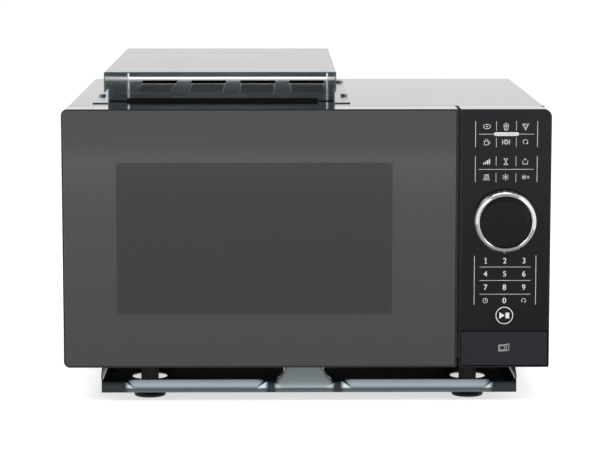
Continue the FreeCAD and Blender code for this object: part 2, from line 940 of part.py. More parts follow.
def transformer_core():
    """The stack of E and I laminations, with two windows for the coils."""
    x, y = transformer_middle()
    stack = block(
        (x - core_width / 2, x + core_width / 2), (y - core_depth / 2, y + core_depth / 2),
        (base_top, base_top + core_height),
    )
    windows = [
        block(
            tuple(sorted((x + s * core_leg, x + s * (core_leg + winding_build + 1)))),
            (y - core_depth / 2 - 1, y + core_depth / 2 + 1),
            (base_top + core_leg, base_top + core_height - core_leg),
        )
        for s in (-1, 1)
    ]
    return less(stack, *windows)


def transformer_windings():
    """Primary below, secondary above, round the core's middle leg."""
    x, y = transformer_middle()
    gap = fit * 2
    room = core_height - 2 * core_leg
    coils = []
    for low, high in ((gap, room * 0.46), (room * 0.54, room - gap)):
        a, b = core_leg + winding_build, core_depth / 2 + winding_build
        outer = prism(rectangle((x - a, x + a), (y - b, y + b), 8.0), "XY",
                      base_top + core_leg + low, base_top + core_leg + high)
        inner = block(
            (x - core_leg - gap, x + core_leg + gap),
            (y - core_depth / 2 - gap, y + core_depth / 2 + gap), (base_top, base_top + core_height),
        )
        coils.append(outer.cut(inner))
    return group(*coils)


def capacitor_place():
    """Middle x of the capacitor can, and its front depth."""
    return bay_left + 6 + capacitor_width / 2, face + capacitor_from_face


def capacitor():
    """An oval can lying on the base, with two pairs of blade terminals."""
    x, y = capacitor_place()
    half = capacitor_width / 2
    can = prism(
        rectangle((x - half, x + half), (base_top, base_top + capacitor_height), capacitor_height / 2 - 1),
        "XZ", y, y + capacitor_length,
    )
    z = base_top + capacitor_height / 2
    blades = [
        block((x + s * 12 - 3, x + s * 12 + 3), (y - 9, y), (z + d, z + d + 0.8))
        for s in (-1, 1) for d in (-4.0, 4.0)
    ]
    return joined(can, *blades)


def capacitor_clamp():
    """A strap bent over the can, screwed down through one foot."""
    x, y = capacitor_place()
    half, high = capacitor_width / 2 + fit, base_top + capacitor_height + fit
    depth = (y + 40, y + 54)
    corner = capacitor_height / 2 - 1
    outside = prism(
        [(x - half - strap, base_top), (x + half + strap, base_top),
         (x + half + strap, high + strap, corner + strap), (x - half - strap, high + strap, corner + strap)],
        "XZ", *depth,
    )
    inside = prism(
        [(x - half, base_top - 1), (x + half, base_top - 1),
         (x + half, high, corner), (x - half, high, corner)],
        "XZ", depth[0] - 1, depth[1] + 1,
    )
    foot = block((x + half, x + half + strap + 16), depth, (base_top, base_top + strap))
    return joined(outside.cut(inside), foot)


def diode():
    """The high-voltage diode: a moulded body with a ring tag on the base plate."""
    x, y = capacitor_place()
    x += capacitor_width / 2 + 26
    y += 12
    body = rod("Y", (x, base_top + 4), 3.6, y, y + 22)
    lead = block((x - 3, x + 3), (y + 22, y + 36), (base_top, base_top + 0.8))
    riser = block((x - 0.6, x + 0.6), (y + 21, y + 24), (base_top, base_top + 4.6))
    return joined(body, lead, riser)


def noise_filter_board():
    """Mains filter on a small board in front of the fan baffle: choke, two capacitors and the fuse."""
    y = (fan_y - 5, fan_y - 5 + board_thickness)
    x = (bay_x - 42, bay_x + 42)
    z = (inner_top - 44, inner_top - 6)
    middle = sum(z) / 2
    board = block(x, y, z)
    posts = [rod("Y", (a, middle), 3.0, y[1], fan_y) for a in (x[0] + 6, x[1] - 6)]
    choke = rod("Y", (bay_x, middle), 11.0, y[0] - 14, y[0])
    caps = [block((bay_x + s * 27 - 9, bay_x + s * 27 + 9), (y[0] - 11, y[0]), (z[0] + 5, z[0] + 20))
            for s in (-1, 1)]
    fuse = rod("X", (y[0] - 3.0, z[1] - 6), 3.0, bay_x + 13, bay_x + 36)
    return joined(board, *posts, choke, *caps, fuse)


# ---------------------------------------------------------------- cooling fan and lamp


def fan_centre():
    return bay_x, fan_z


def motor_posts():
    """Places of the two posts that carry the fan motor."""
    x, z = fan_centre()
    half = fan_motor_side / 2 - 4
    return [(x - half, z - fan_hole_radius - 5), (x + half, z - fan_hole_radius - 5),
            (x - half, z + fan_hole_radius + 5), (x + half, z + fan_hole_radius + 5)]


def fan_motor_front():
    return fan_y + 2 + fan_thickness + 4


def fan_shroud():
    """The baffle across the bay, with a collar round the fan and four posts for its motor."""
    x, z = fan_centre()
    corner = case_corner - sheet
    outline = [
        (bay_left + fit, base_top), (inner_right - sheet - fit, base_top),
        (inner_right - sheet - fit, inner_top, corner), (bay_left + fit, inner_top),
    ]
    baffle = prism(outline, "XZ", fan_y, fan_y + 2)
    collar = rod("Y", (x, z), fan_hole_radius + 2, fan_y, fan_y + 2 + fan_thickness)
    hole = rod("Y", (x, z), fan_hole_radius, fan_y - 1, fan_y + 20)
    posts = [rod("Y", place, 3.5, fan_y + 2, fan_motor_front()) for place in motor_posts()]
    return joined(baffle, collar, *posts).cut(hole)


def fan_motor():
    """A shaded-pole motor on two straps that bridge the fan's hole."""
    x, z = fan_centre()
    front_y = fan_motor_front()
    half = fan_motor_side / 2
    straps = [
        block((x + s * (half - 4) - 6, x + s * (half - 4) + 6), (front_y, front_y + 1.5),
              (z - fan_hole_radius - 9, z + fan_hole_radius + 9))
        for s in (-1, 1)
    ]
    stator = block((x - half, x + half), (front_y, front_y + fan_motor_depth), (z - 22, z + 18))
    coil_block = block((x - 15, x + 15), (front_y - 2, front_y + fan_motor_depth + 5), (z + 18, z + 38))
    boss = rod("Y", (x, z), 7.0, front_y - 2, front_y)
    bore = rod("Y", (x, z), fan_shaft_radius + running, front_y - 3, front_y + fan_motor_depth - 3)
    return joined(stator, *straps, coil_block, boss).cut(bore)


def fan_blade():
    """The moulded fan and, as a separate solid, the shaft that it is pressed on."""
    x, z = fan_centre()
    low, high = fan_y + 2, fan_y + 2 + fan_thickness
    hub = rod("Y", (x, z), fan_hub_radius, low, high)
    blades = []
    for i in range(fan_blades):
        blade = block(
            (x + fan_hub_radius - 2, x + fan_blade_radius - 2), (low + 6, low + 7.6), (z - 14, z + 14)
        )
        blade.rotate(Vector(x, low + 6.8, z), Vector(1, 0, 0), 24)
        blade.rotate(Vector(x, 0, z), Vector(0, 1, 0), 360 / fan_blades * i)
        blades.append(blade)
    fan = joined(hub, *blades)
    fan = fan.common(rod("Y", (x, z), fan_blade_radius, low, high))
    shaft_end = fan_motor_front() + fan_motor_depth - 4
    fan = fan.cut(rod("Y", (x, z), fan_shaft_radius, low + 3, high + 1))
    shaft = rod("Y", (x, z), fan_shaft_radius, low + 3, shaft_end)
    return group(fan, shaft)


def lamp_axis():
    return bay_left + 14.0, cavity_roof - 28


def lamp_holder():
    x, z = lamp_axis()
    low = face + lamp_from_face + bulb_length
    body = block((bay_left, x + 13), (low, low + 22), (z - 13, z + 13))
    tabs = [block((x + d, x + d + 0.8), (low + 22, low + 30), (z - 3, z + 3)) for d in (-6.0, 6.0)]
    socket = rod("Y", (x, z), 6.0 + fit, low - 1, low + 8)
    return joined(body, *tabs).cut(socket)


def lamp_bulb():
    x, z = lamp_axis()
    low, high = face + lamp_from_face, face + lamp_from_face + bulb_length
    glass = turned(
        [(0, low), (4, low + 0.6), (7.5, low + 3.5), (bulb_radius, low + 8), (bulb_radius, high - 12),
         (6, high - 3), (6, high + 7), (0, high + 7)],
        x, z,
    )
    return glass


# ---------------------------------------------------------------- interlock and release


def interlock_holder():
    """The moulded carrier behind the face plate: catches for the hooks, and the lever's bearing."""
    back = face + sheet
    plate = block((holder_x, holder_x + 3), (back, back + 44), (lever_z - 14, hooks[1] + 32))
    foot = block((holder_x, holder_x + 9), (back, back + 2.5), (lever_z + 14, hooks[1] + 32))
    catches = []
    for z in hooks:
        high = z - hook_nose - catch_gap
        depth = tuple(face + d for d in catch_depth)
        catches.append(block((latch_x - hook_width / 2 - 1, holder_x), depth, (high - 3, high)))
    shelves = [block((latch_x - 5, holder_x), (hook_tip + 1, hook_tip + 22), (z - 9, z - 7)) for z in hooks]
    bearing = rod("X", (lever_y, lever_z), lever_shaft_radius + running, holder_x - 1, holder_x + 4)
    return joined(plate, foot, *catches, *shelves).cut(bearing)


def interlock_switches():
    """Two microswitches behind the upper hook and one behind the lower, each with its nub pressed in."""
    switches = []
    spots = ((hooks[0], 0), (hooks[1], 0), (hooks[1], 1))
    for z, place in spots:
        y0 = hook_tip + 1.6
        low = z - 7 + fit + 11 * place
        body = block((holder_x - 7.0, holder_x - fit), (y0, y0 + 19), (low, low + 10))
        nub = block((holder_x - 5.0, holder_x - 3.0), (y0 - 1.2, y0), (low + 6, low + 8.5))
        tabs = [
            block((holder_x - 4, holder_x - 3.2), (y0 + 19, y0 + 26), (low + d, low + d + 3))
            for d in (1, 6)
        ]
        switches.append(joined(body, nub, *tabs))
    return group(*switches)


def release_lever():
    """A bell crank: the push rod swings its lower arm back, and its finger lifts the lower hook."""
    shaft = rod("X", (lever_y, lever_z), lever_shaft_radius, latch_x - 4, push_rod_x + 5)
    hub_left = rod("X", (lever_y, lever_z), lever_shaft_radius + 2.5, latch_x - 4, latch_x + 4)
    hub_right = rod("X", (lever_y, lever_z), lever_shaft_radius + 2.0, push_rod_x - 4, push_rod_x + 4)
    tip_y, tip_z = lever_y + lever_finger, hooks[0] - hook_nose - lever_play - lever_tip_radius
    side = (latch_x - 4, latch_x + 4)
    finger = prism(
        [(lever_y, lever_z - 4), (lever_y + 8, lever_z), (tip_y + lever_tip_radius, tip_z - 5),
         (tip_y + lever_tip_radius, tip_z), (tip_y - lever_tip_radius, tip_z), (tip_y - 3, tip_z - 5),
         (lever_y, lever_z + 4)],
        "YZ", *side,
    )
    tip = rod("X", (tip_y, tip_z), lever_tip_radius, *side)
    arm = block(
        (push_rod_x - 4, push_rod_x + 4), (lever_y - 2.5, lever_y + 2.5),
        (push_rod_z - 5, lever_z),
    )
    return joined(shaft, hub_left, hub_right, finger, tip, arm)


# ---------------------------------------------------------------- control panel


def panel_outline(inset, low=None, high=None):
    """The control panel's outline: its outer corners are round, and its door side is nearly square."""
    low = bottom + inset if low is None else low
    round_top = panel_corner if high is None else button_corner
    high = top - inset if high is None else high
    upper, lower = max(round_top - inset, 1.0), max(2.0 - inset, 0.5)
    return [
        (panel_left + inset, low, 0.5), (right - inset, low, lower),
        (right - inset, high, upper), (panel_left + inset, high, 0.5),
    ]


def board_bosses():
    """Places of the posts that carry the control board."""
    return [
        (x, z)
        for x in (panel_left + board_margin + 5, right - board_margin - 5)
        for z in (fascia_bottom + 16, top - 16)
    ]


def panel_housing():
    """The moulded box of the control panel, open behind, with the button's guide wall."""
    shell = prism(panel_outline(0), "XZ", front + bezel_setback, face)
    hollow = prism(panel_outline(panel_wall), "XZ", front + housing_front, face + 1)
    pocket = prism(
        panel_outline(fascia_inset - fit, low=fascia_bottom - fit), "XZ", front - 1, front + fascia_thickness
    )
    button_room = front + bezel_setback + button_thickness + button_travel + button_gap
    doorway = prism(
        panel_outline(button_edge - button_gap / 2, high=button_top + button_gap / 2), "XZ",
        front - 1, button_room,
    )
    dial_hole = rod("Y", (dial_x, dial_z), carrier_radius + fit, front - 1, front + housing_front + 1)
    body = less(shell, hollow, pocket, doorway, dial_hole)
    guide = block(
        (panel_left + 1, right - 1), (front + guide_wall_depth, front + guide_wall_depth + 2),
        (bottom + 1, button_top + 2),
    )
    ceiling = block(
        (panel_left + 1, right - 1), (front + housing_front - 1.5, front + guide_wall_depth + 2),
        (button_top + 2, button_top + 4),
    )
    posts = [rod("Y", place, boss_radius, front + housing_front, board_y) for place in board_bosses()]
    rod_hole = rod("Y", (push_rod_x, push_rod_z), push_rod_radius + running * 4, front, face)
    stem_hole = rod("Y", (guide_stem_x(), push_rod_z + 4), 3.0 + running * 4, front, face - 2)
    return less(joined(body, guide, ceiling, *posts), rod_hole, stem_hole)


def guide_stem_x():
    """Middle of the button's second guide stem."""
    return right - push_rod_from_left - 4


def panel_fascia():
    plate = prism(panel_outline(fascia_inset, low=fascia_bottom), "XZ", front, front + fascia_thickness)
    plate = plate.makeChamfer(fascia_bevel, front_edges(plate))
    return plate.cut(rod("Y", (dial_x, dial_z), carrier_radius + 2 * fit, front - 1, front + 5))


def open_button():
    """The wide door button, its push rod and its guide stem."""
    back = front + bezel_setback + button_thickness
    plate = prism(
        panel_outline(button_edge + button_gap / 2, high=button_top - button_gap / 2), "XZ",
        front + bezel_setback, back,
    )
    plate = plate.makeChamfer(button_bevel, front_edges(plate))
    push = rod("Y", (push_rod_x, push_rod_z), push_rod_radius, back - 1, push_rod_end())
    tip = Part.makeSphere(push_rod_radius, Vector(push_rod_x, push_rod_end(), push_rod_z))
    stem = rod("Y", (guide_stem_x(), push_rod_z + 4), 3.0, back - 1, front + guide_wall_depth + 6)
    return joined(plate, push, tip, stem)


def push_rod_end():
    """Where the push rod's round tip starts, so that the tip nearly touches the lever's arm."""
    return lever_y - 2.5 - 2 * fit - push_rod_radius


def button_spring():
    """The coil that returns the door button, round its push rod."""
    start = front + bezel_setback + button_thickness + wire_radius + fit
    end = front + guide_wall_depth - wire_radius - fit
    return coil(button_spring_radius, end - start, button_spring_turns,
                Vector(push_rod_x, start, push_rod_z), Vector(0, 1, 0))


def control_board():
    """The board with its relays, the display block and the encoder soldered on."""
    x = (panel_left + board_margin, right - board_margin)
    z = (fascia_bottom + 10, top - 10)
    board = block(x, (board_y, board_y + board_thickness), z)
    back = board_y + board_thickness
    relays = [block((x[0] + 10 + 24 * i, x[0] + 28 + 24 * i), (back, face - 1), (z[0] + 12, z[0] + 34))
              for i in range(3)]
    transformer = block((dial_x - 18, dial_x + 18), (back, face + 8), (z[1] - 62, z[1] - 30))
    display = block((dial_x - 17, dial_x + 17), (board_y - 12, board_y), (dial_z - 9, dial_z + 9))
    half = encoder_side / 2
    encoder = block(
        (dial_x - half, dial_x + half), (board_y - 8, board_y), (pinion_z - half, pinion_z + half)
    )
    bore = rod("Y", (dial_x, pinion_z), lever_shaft_radius + running, board_y - 9, board_y - 3)
    return joined(board, *relays, transformer, display, encoder).cut(bore)


def display_housing():
    """The fixed black tube that holds the display window in front of the board."""
    return tube("Y", (dial_x, dial_z), display_radius, display_radius - display_wall,
                display_seat(), board_y)


def display_seat():
    """Depth of the display window's back face."""
    return front - dial_stand_out + 4.2


def display_window():
    low = display_seat() - 2.2
    return turned(
        [(0, low), (display_radius - 4, low), (display_radius - 0.6, low + 0.3),
         (display_radius, low + 0.9), (display_radius, display_seat()), (0, display_seat())],
        dial_x, dial_z,
    )


def dial_ring():
    """The bright grip ring, clipped on its carrier."""
    tip = front - dial_stand_out
    shelf = tip + 6
    back = front - 0.5
    rim = carrier_radius + fit
    return turned(
        [(dial_bore, tip + 2.4), (dial_radius - 3.0, tip + 0.2), (dial_radius - 2.0, tip),
         (dial_radius - 0.9, tip + 0.4), (dial_radius - 0.2, tip + 1.2), (dial_radius, tip + 2.2),
         (dial_radius - 0.8, back), (rim, back), (rim, shelf), (dial_bore, shelf)],
        dial_x, dial_z,
    )


def dial_carrier():
    """The sleeve behind the ring: it runs in the housing and turns the encoder with its gear."""
    start = front - dial_stand_out + 6
    gear_start = front + gear_depth
    sleeve = rod("Y", (dial_x, dial_z), carrier_radius, start, gear_start + gear_width)
    clip = rod("Y", (dial_x, dial_z), carrier_flange, front + housing_front + 0.4, front + housing_front + 2)
    wheel = gear(dial_teeth, dial_x, dial_z, gear_start, gear_start + gear_width)
    bore = rod("Y", (dial_x, dial_z), carrier_bore, start - 1, gear_start + gear_width + 1)
    return joined(sleeve, clip, wheel).cut(bore)


def encoder_pinion():
    start = front + gear_depth
    half_tooth = math.pi / pinion_teeth
    wheel = gear(pinion_teeth, dial_x, pinion_z, start, start + gear_width, phase=half_tooth + math.pi / 2)
    shaft = rod("Y", (dial_x, pinion_z), lever_shaft_radius, start + gear_width, board_y - 4)
    return joined(wheel, shaft)


# ---------------------------------------------------------------- case, base and rear


def case_screw_places():
    """Rear screws through the case's flange into the rear panel, as (x, z)."""
    inset = flange / 2
    sides = [(s * (case_right - inset), z) for s in (-1, 1) for z in (bottom + 70, top - 60)]
    uppers = [(x, top - inset) for x in (left + 90, 0.0, right - 90)]
    return sides + uppers


def vents():
    """Low and high x of each exhaust vent."""
    return [
        (left + vent_first + vent_pitch * i, left + vent_first + vent_pitch * i + vent_width)
        for i in range(vent_count)
    ]


def duct_screw_places():
    """Screws through the duct's side flanges, as (x, y)."""
    return [
        (x, front + depth)
        for x in (duct_left - duct_flange * 0.74, duct_right + duct_flange * 0.74)
        for depth in duct_screws
    ]


def outer_case():
    """The wrap-round cover: roof and both sides in one sheet, with a flange behind."""
    def wrap(grow, low, high):
        corner = case_corner - grow
        low_edge = case_bottom - (1 if grow else 0)
        return prism(
            [(case_left + grow, low_edge), (case_right - grow, low_edge),
             (case_right - grow, top - grow, corner), (case_left + grow, top - grow, corner)],
            "XZ", low, high,
        )

    outside = wrap(0, face, rear)
    inside = wrap(sheet, face - 1, rear - sheet)
    doorway = block(
        (case_left + flange, case_right - flange), (rear - 2, rear + 1), (case_bottom - 1, top - flange)
    )
    openings = [
        block(x, (front + vent_front, front + vent_front + vent_length), (top - 2, top + 1)) for x in vents()
    ]
    side_slots = [
        block((case_left - 1, case_left + 2), (rear - 60 - 14 * i, rear - 54 - 14 * i), (top - 90, top - 45))
        for i in range(8)
    ]
    roof_holes = [screw_hole("Z", place, top - 2, top + 1) for place in duct_screw_places()]
    rear_holes = [screw_hole("Y", place, rear - 2, rear + 1) for place in case_screw_places()]
    return less(outside, inside, doorway, *openings, *side_slots, *roof_holes, *rear_holes)


def rear_panel():
    """The flat back, with the fan's inlet grille and the cord's hole."""
    plate = prism(case_lining(0), "XZ", rear_panel_front, rear_panel_back)
    x, z = fan_centre()
    low, high = rear_panel_front - 1, rear_panel_back + 1
    grille = []
    rings, pitch = 5, 9.5
    for ring_number in range(1, rings + 1):
        radius = pitch * ring_number
        holes = 6 * ring_number
        for i in range(holes):
            turn = 2 * math.pi * i / holes
            spot = (x + radius * math.cos(turn), z + radius * math.sin(turn))
            grille.append(rod("Y", spot, 3.0, low, high))
    grille.append(rod("Y", (x, z), 3.0, low, high))
    screws = [screw_hole("Y", place, low, high) for place in case_screw_places()]
    gland = rod("Y", gland_place(), 8.0, low, high)
    ribs = [
        prism(rectangle((left + 50, left + 300), (z0, z0 + 6), 2.9), "XZ", rear_panel_back, rear - fit / 3)
        for z0 in (bottom + 60, bottom + 120, bottom + 180)
    ]
    return less(joined(plate, *ribs), *grille, *screws, gland)


def gland_place():
    return inner_right - 34, case_bottom + 26


def cord_gland():
    """The moulded bush that lines the supply cord's hole."""
    low, high = rear_panel_front - 3, rear
    body = rod("Y", gland_place(), 8.0 - fit / 3, low, high)
    lip = rod("Y", gland_place(), 10.5, rear_panel_back, high)
    clip = rod("Y", gland_place(), 9.5, low, rear_panel_front - fit)
    hole = rod("Y", gland_place(), 4.0, low - 1, high + 1)
    return joined(body, lip, clip).cut(hole)


def base_plate():
    """The floor of the case, with upturned edges and air slots."""
    x = (inner_left, inner_right)
    y = (face + sheet, rear_panel_front)
    outside = block(x, y, (case_bottom, base_top + flange - sheet))
    hollow = block(
        (x[0] + sheet, x[1] - sheet), (y[0] - 1, y[1] - sheet), (base_top, base_top + flange)
    )
    rims = block((x[0] - 1, x[1] + 1), (y[0] - 1, face + flange + fit), (base_top, base_top + flange))
    slots = [
        block((inner_left + 20, inner_left + 60), (y[0] + 60 + 16 * i, y[0] + 66 + 16 * i),
              (case_bottom - 1, base_top + 1))
        for i in range(6)
    ]
    feet_holes = [
        rod("Z", place, foot_peg_radius + fit, case_bottom - 1, base_top + 1) for place in foot_places
    ]
    screws = [screw_hole("Z", place, case_bottom - 1, base_top + 1) for place in tray_screw_places()]
    return less(outside, hollow, rims, *slots, *feet_holes, *screws)


def feet():
    """Four moulded feet: a peg through the base, a ribbed shank and a round pad."""
    made = []
    for x, y in foot_places:
        peg = rod("Z", (x, y), foot_peg_radius, case_bottom - 1, base_top + 3)
        head = Part.makeCone(foot_peg_radius + 1, foot_peg_radius - 1.5, 3, Vector(x, y, base_top + fit))
        shank = rod("Z", (x, y), foot_radius - 1.0, foot_disc - 1, case_bottom)
        ribs = []
        for i in range(12):
            turn = 2 * math.pi * i / 12
            spot = (x + (foot_radius - 1.3) * math.cos(turn), y + (foot_radius - 1.3) * math.sin(turn))
            ribs.append(rod("Z", spot, 1.3, foot_disc - 1, case_bottom))
        pad = rod("Z", (x, y), foot_disc_radius, 0, foot_disc)
        rims = [e for e in pad.Edges if isinstance(e.Curve, Part.Circle)]
        pad = pad.makeFillet(1.2, rims)
        made.append(joined(peg, head, shank, *ribs, pad))
    return group(*made)


def tray_screw_places():
    """Screws up through the tray's tabs and ramp into the base plate."""
    ramp = (ramp_middle, front + ramp_end + ramp_pad / 2)
    tabs = [(x, front + d) for x in (tray_left + 9, tray_right - 9) for d in tray_tabs]
    return [ramp] + tabs


def tray_pan():
    """The tray's level deck with its front lip, two long beads, foot holes and fixing holes."""
    t = tray_sheet
    lip_y, back = front + tray_lip_depth, front + tray_back
    across = (tray_left + t, tray_right - t)
    deck = block(across, (lip_y, back), (tray_level - t, tray_level))
    lip = block(across, (lip_y, lip_y + t), (tray_lip_bottom, tray_level))
    bead_cuts, beads = [], []
    left_bead = (base_shift - bead_far, ramp_middle - bead_near)
    right_bead = (ramp_middle + bead_near, base_shift + bead_far)
    for x in (left_bead, right_bead):
        wedge = [
            (lip_y - 1, tray_level + 1), (lip_y + bead_run, tray_level + 1), (lip_y + bead_run, tray_level),
            (lip_y, tray_level - bead_drop), (lip_y - 1, tray_level - bead_drop),
        ]
        bead_cuts.append(prism(wedge, "YZ", *x))
        skin = [(lip_y, tray_level - bead_drop), (lip_y + bead_run, tray_level),
                (lip_y + bead_run + 1.5, tray_level - t), (lip_y + t, tray_level - bead_drop - t)]
        beads.append(prism(skin, "YZ", *x))
        beads += [prism(wedge[2:4] + [(lip_y, tray_level - 0.01)], "YZ", end, end + t)
                  for end in (x[0] - t / 2, x[1] - t / 2)]
    fixing_y = front + tray_fixing_from_front
    holes = [rod("Z", place, tray_hole_radius, tray_level - 3, tray_level + 1) for place in foot_places]
    holes += [
        rod("Z", (base_shift + a * tray_fixing_across / 2, fixing_y + b * tray_fixing_deep / 2),
            tray_fixing_radius, tray_level - 3, tray_level + 1)
        for a in (-1, 1) for b in (-1, 1)
    ]
    return less(joined(less(joined(deck, lip), *bead_cuts), *beads), *holes)


def tray_ramp():
    """The drawn ramp in the middle of the tray, with its side walls and a level pad at its top."""
    t = tray_sheet
    slope = (case_bottom - tray_level) / (ramp_end - ramp_start)
    drop = t * math.sqrt(1 + slope * slope)
    pad_end = front + ramp_end + ramp_pad
    ramp_x = (ramp_middle - ramp_half_width, ramp_middle + ramp_half_width)
    climb = prism(
        [(front + ramp_start, tray_level), (front + ramp_end, case_bottom), (pad_end, case_bottom),
         (pad_end, case_bottom - t), (front + ramp_end + 1, case_bottom - t),
         (front + ramp_start + drop / slope, tray_level)],
        "YZ", *ramp_x,
    )
    fill = [(front + ramp_start + 1, tray_level), (front + ramp_end, case_bottom - t),
            (pad_end, case_bottom - t), (pad_end, tray_level)]
    walls = [prism(fill, "YZ", ramp_x[0], ramp_x[0] + t), prism(fill, "YZ", ramp_x[1] - t, ramp_x[1])]
    return joined(climb, *walls)


def mounting_tray():
    """The tray under the oven: a pressed pan, a ramp, and welded cheeks with tabs under the base."""
    t = tray_sheet
    lip_y, back = front + tray_lip_depth, front + tray_back
    side = [
        (lip_y, tray_lip_bottom), (lip_y + 18, tray_level - t), (back, tray_level - t), (back, case_bottom),
        (lip_y + tray_side_slope + 16, case_bottom), (lip_y, tray_level),
    ]
    cheeks = [prism(side, "YZ", tray_left, tray_left + t), prism(side, "YZ", tray_right - t, tray_right)]
    left_tab = (tray_left + t, tray_left + 18)
    right_tab = (tray_right - 18, tray_right - t)
    tabs = [
        block(x, (front + d - 12, front + d + 12), (case_bottom - t, case_bottom))
        for x in (left_tab, right_tab) for d in tray_tabs
    ]
    screws = [screw_hole("Z", place, case_bottom - 4, case_bottom + 1) for place in tray_screw_places()]
    bored = [less(solid, *screws) for solid in [tray_ramp()] + tabs]
    return group(tray_pan(), *cheeks, *bored)


# ---------------------------------------------------------------- exhaust duct


def duct_cover():
    """The folded duct: roof, two sides notched at the front, back wall, and screw flanges."""
    t = duct_sheet
    foot_y = duct_front + duct_notch_length
    slit = t + duct_corner_slit
    box = block((duct_left, duct_right), (duct_front, duct_back), (top, duct_top))
    folds = [
        e for e in box.Edges
        if e.BoundBox.ZMin > duct_top - 1e-6 and e.BoundBox.YMax > duct_back - 1e-6
    ]
    box = box.makeFillet(duct_fold, folds)
    hollow = block((duct_left + t, duct_right - t), (duct_front - 1, duct_back - t), (top - 1, duct_top - t))
    notch = block(
        (duct_left - 1, duct_right + 1), (duct_front - 1, foot_y), (top - 1, top + duct_notch_height)
    )
    rear_gap = block(
        (duct_left + slit, duct_right - slit), (duct_back - t - 1, duct_back + 1),
        (top - 1, top + duct_rear_gap),
    )
    slits = [
        block(x, (duct_back - t - 1, duct_back + 1), (top - 1, duct_top - t - duct_fold))
        for x in ((duct_left + t, duct_left + slit), (duct_right - slit, duct_right - t))
    ]
    flanges = [
        block((duct_left - duct_flange, duct_left), (foot_y, duct_back), (top, top + t)),
        block((duct_right, duct_right + duct_flange), (foot_y, duct_back), (top, top + t)),
    ]
    screws = [screw_hole("Z", place, top - 1, top + t + 1) for place in duct_screw_places()]
    return less(joined(less(box, hollow, notch, rear_gap, *slits), *flanges), *screws)


def duct_floor_plate():
    """The plate under the duct, with one opening over each vent and a raised front lip."""
    t = duct_sheet
    x = (duct_left + t + fit, duct_right - t - fit)
    y = (front + duct_floor_front, duct_back - t - 4)
    plate = block(x, y, (top, top + t))
    lip = block((x[0] + 16, x[1] - 16), (y[0], y[0] + t), (top, top + t + duct_floor_lip))
    openings = [
        block(v, (front + vent_front, front + vent_front + vent_length), (top - 1, top + t + 1))
        for v in vents()
    ]
    slots = [
        block((duct_left + a, duct_left + a + 25), (y[0] + 4, y[0] + 24), (top - 1, top + t + 1))
        for a in (42.0, 78.0)
    ]
    return less(joined(plate, lip), *openings, *slots)


def vent_screens():
    """Louvred grilles under the roof's vents."""
    grilles = []
    bars = 14
    high = top - sheet
    for low_x, high_x in vents():
        y0, y1 = front + vent_front - 3, front + vent_front + vent_length + 3
        plate = block((low_x - 3, high_x + 3), (y0, y1), (high - sheet, high))
        pitch = vent_length / bars
        slots = [
            block((low_x + 2, high_x - 2), (y0 + 5 + pitch * i, y0 + 5 + pitch * i + pitch * 0.55),
                  (high - 2, high + 1))
            for i in range(bars)
        ]
        grilles.append(less(plate, *slots))
    return group(*grilles)


def case_screws():
    """All the self-tappers that show: rear, duct and tray."""
    rear_ones = [self_tapper("Y", place, rear, 1) for place in case_screw_places()]
    roof_ones = [self_tapper("Z", place, top + duct_sheet, 1) for place in duct_screw_places()]
    tray_ones = [self_tapper("Z", place, case_bottom - tray_sheet, -1) for place in tray_screw_places()]
    return group(*rear_ones, *roof_ones, *tray_ones)


# ---------------------------------------------------------------- every node


nodes = {
    "door_bezel": door_bezel,
    "door_glass": door_glass,
    "door_choke_frame": door_choke_frame,
    "door_screen": door_screen,
    "door_inner_panel": door_inner_panel,
    "door_choke_cover": door_choke_cover,
    "door_latch": door_latch,
    "latch_spring": latch_spring,
    "hinge_bushes": hinge_bushes,
    "front_plate": front_plate,
    "hinge_brackets": hinge_brackets,
    "hinge_pins": hinge_pins,
    "cavity_liner": cavity_liner,
    "waveguide_cover": waveguide_cover,
    "turntable_motor": turntable_motor,
    "turntable_coupler": turntable_coupler,
    "roller_ring": roller_ring,
    "roller_wheel_1": lambda: roller_wheel(0),
    "roller_wheel_2": lambda: roller_wheel(1),
    "roller_wheel_3": lambda: roller_wheel(2),
    "glass_tray": glass_tray,
    "waveguide": waveguide,
    "magnetron_yoke": magnetron_yoke,
    "magnetron_anode": magnetron_anode,
    "magnetron_antenna": magnetron_antenna,
    "magnetron_filter_box": magnetron_filter_box,
    "transformer_core": transformer_core,
    "transformer_windings": transformer_windings,
    "capacitor": capacitor,
    "capacitor_clamp": capacitor_clamp,
    "diode": diode,
    "noise_filter_board": noise_filter_board,
    "fan_shroud": fan_shroud,
    "fan_motor": fan_motor,
    "fan_blade": fan_blade,
    "lamp_holder": lamp_holder,
    "lamp_bulb": lamp_bulb,
    "interlock_holder": interlock_holder,
    "interlock_switches": interlock_switches,
    "release_lever": release_lever,
    "panel_housing": panel_housing,
    "panel_fascia": panel_fascia,
    "open_button": open_button,
    "button_spring": button_spring,
    "control_board": control_board,
    "display_housing": display_housing,
    "display_window": display_window,
    "dial_ring": dial_ring,
    "dial_carrier": dial_carrier,
    "encoder_pinion": encoder_pinion,
    "outer_case": outer_case,
    "rear_panel": rear_panel,
    "cord_gland": cord_gland,
    "base_plate": base_plate,
    "feet": feet,
    "mounting_tray": mounting_tray,
    "duct_cover": duct_cover,
    "duct_floor_plate": duct_floor_plate,
    "vent_screens": vent_screens,
    "case_screws": case_screws,
}

os.makedirs("parts", exist_ok=True)
for name, make in nodes.items():
    shape = make()
    shape.exportStep(os.path.join("parts", name + ".step"))
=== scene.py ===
"""Finishes, printed keys, pressed tray and studio for the microwave oven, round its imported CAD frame."""

import json
import math

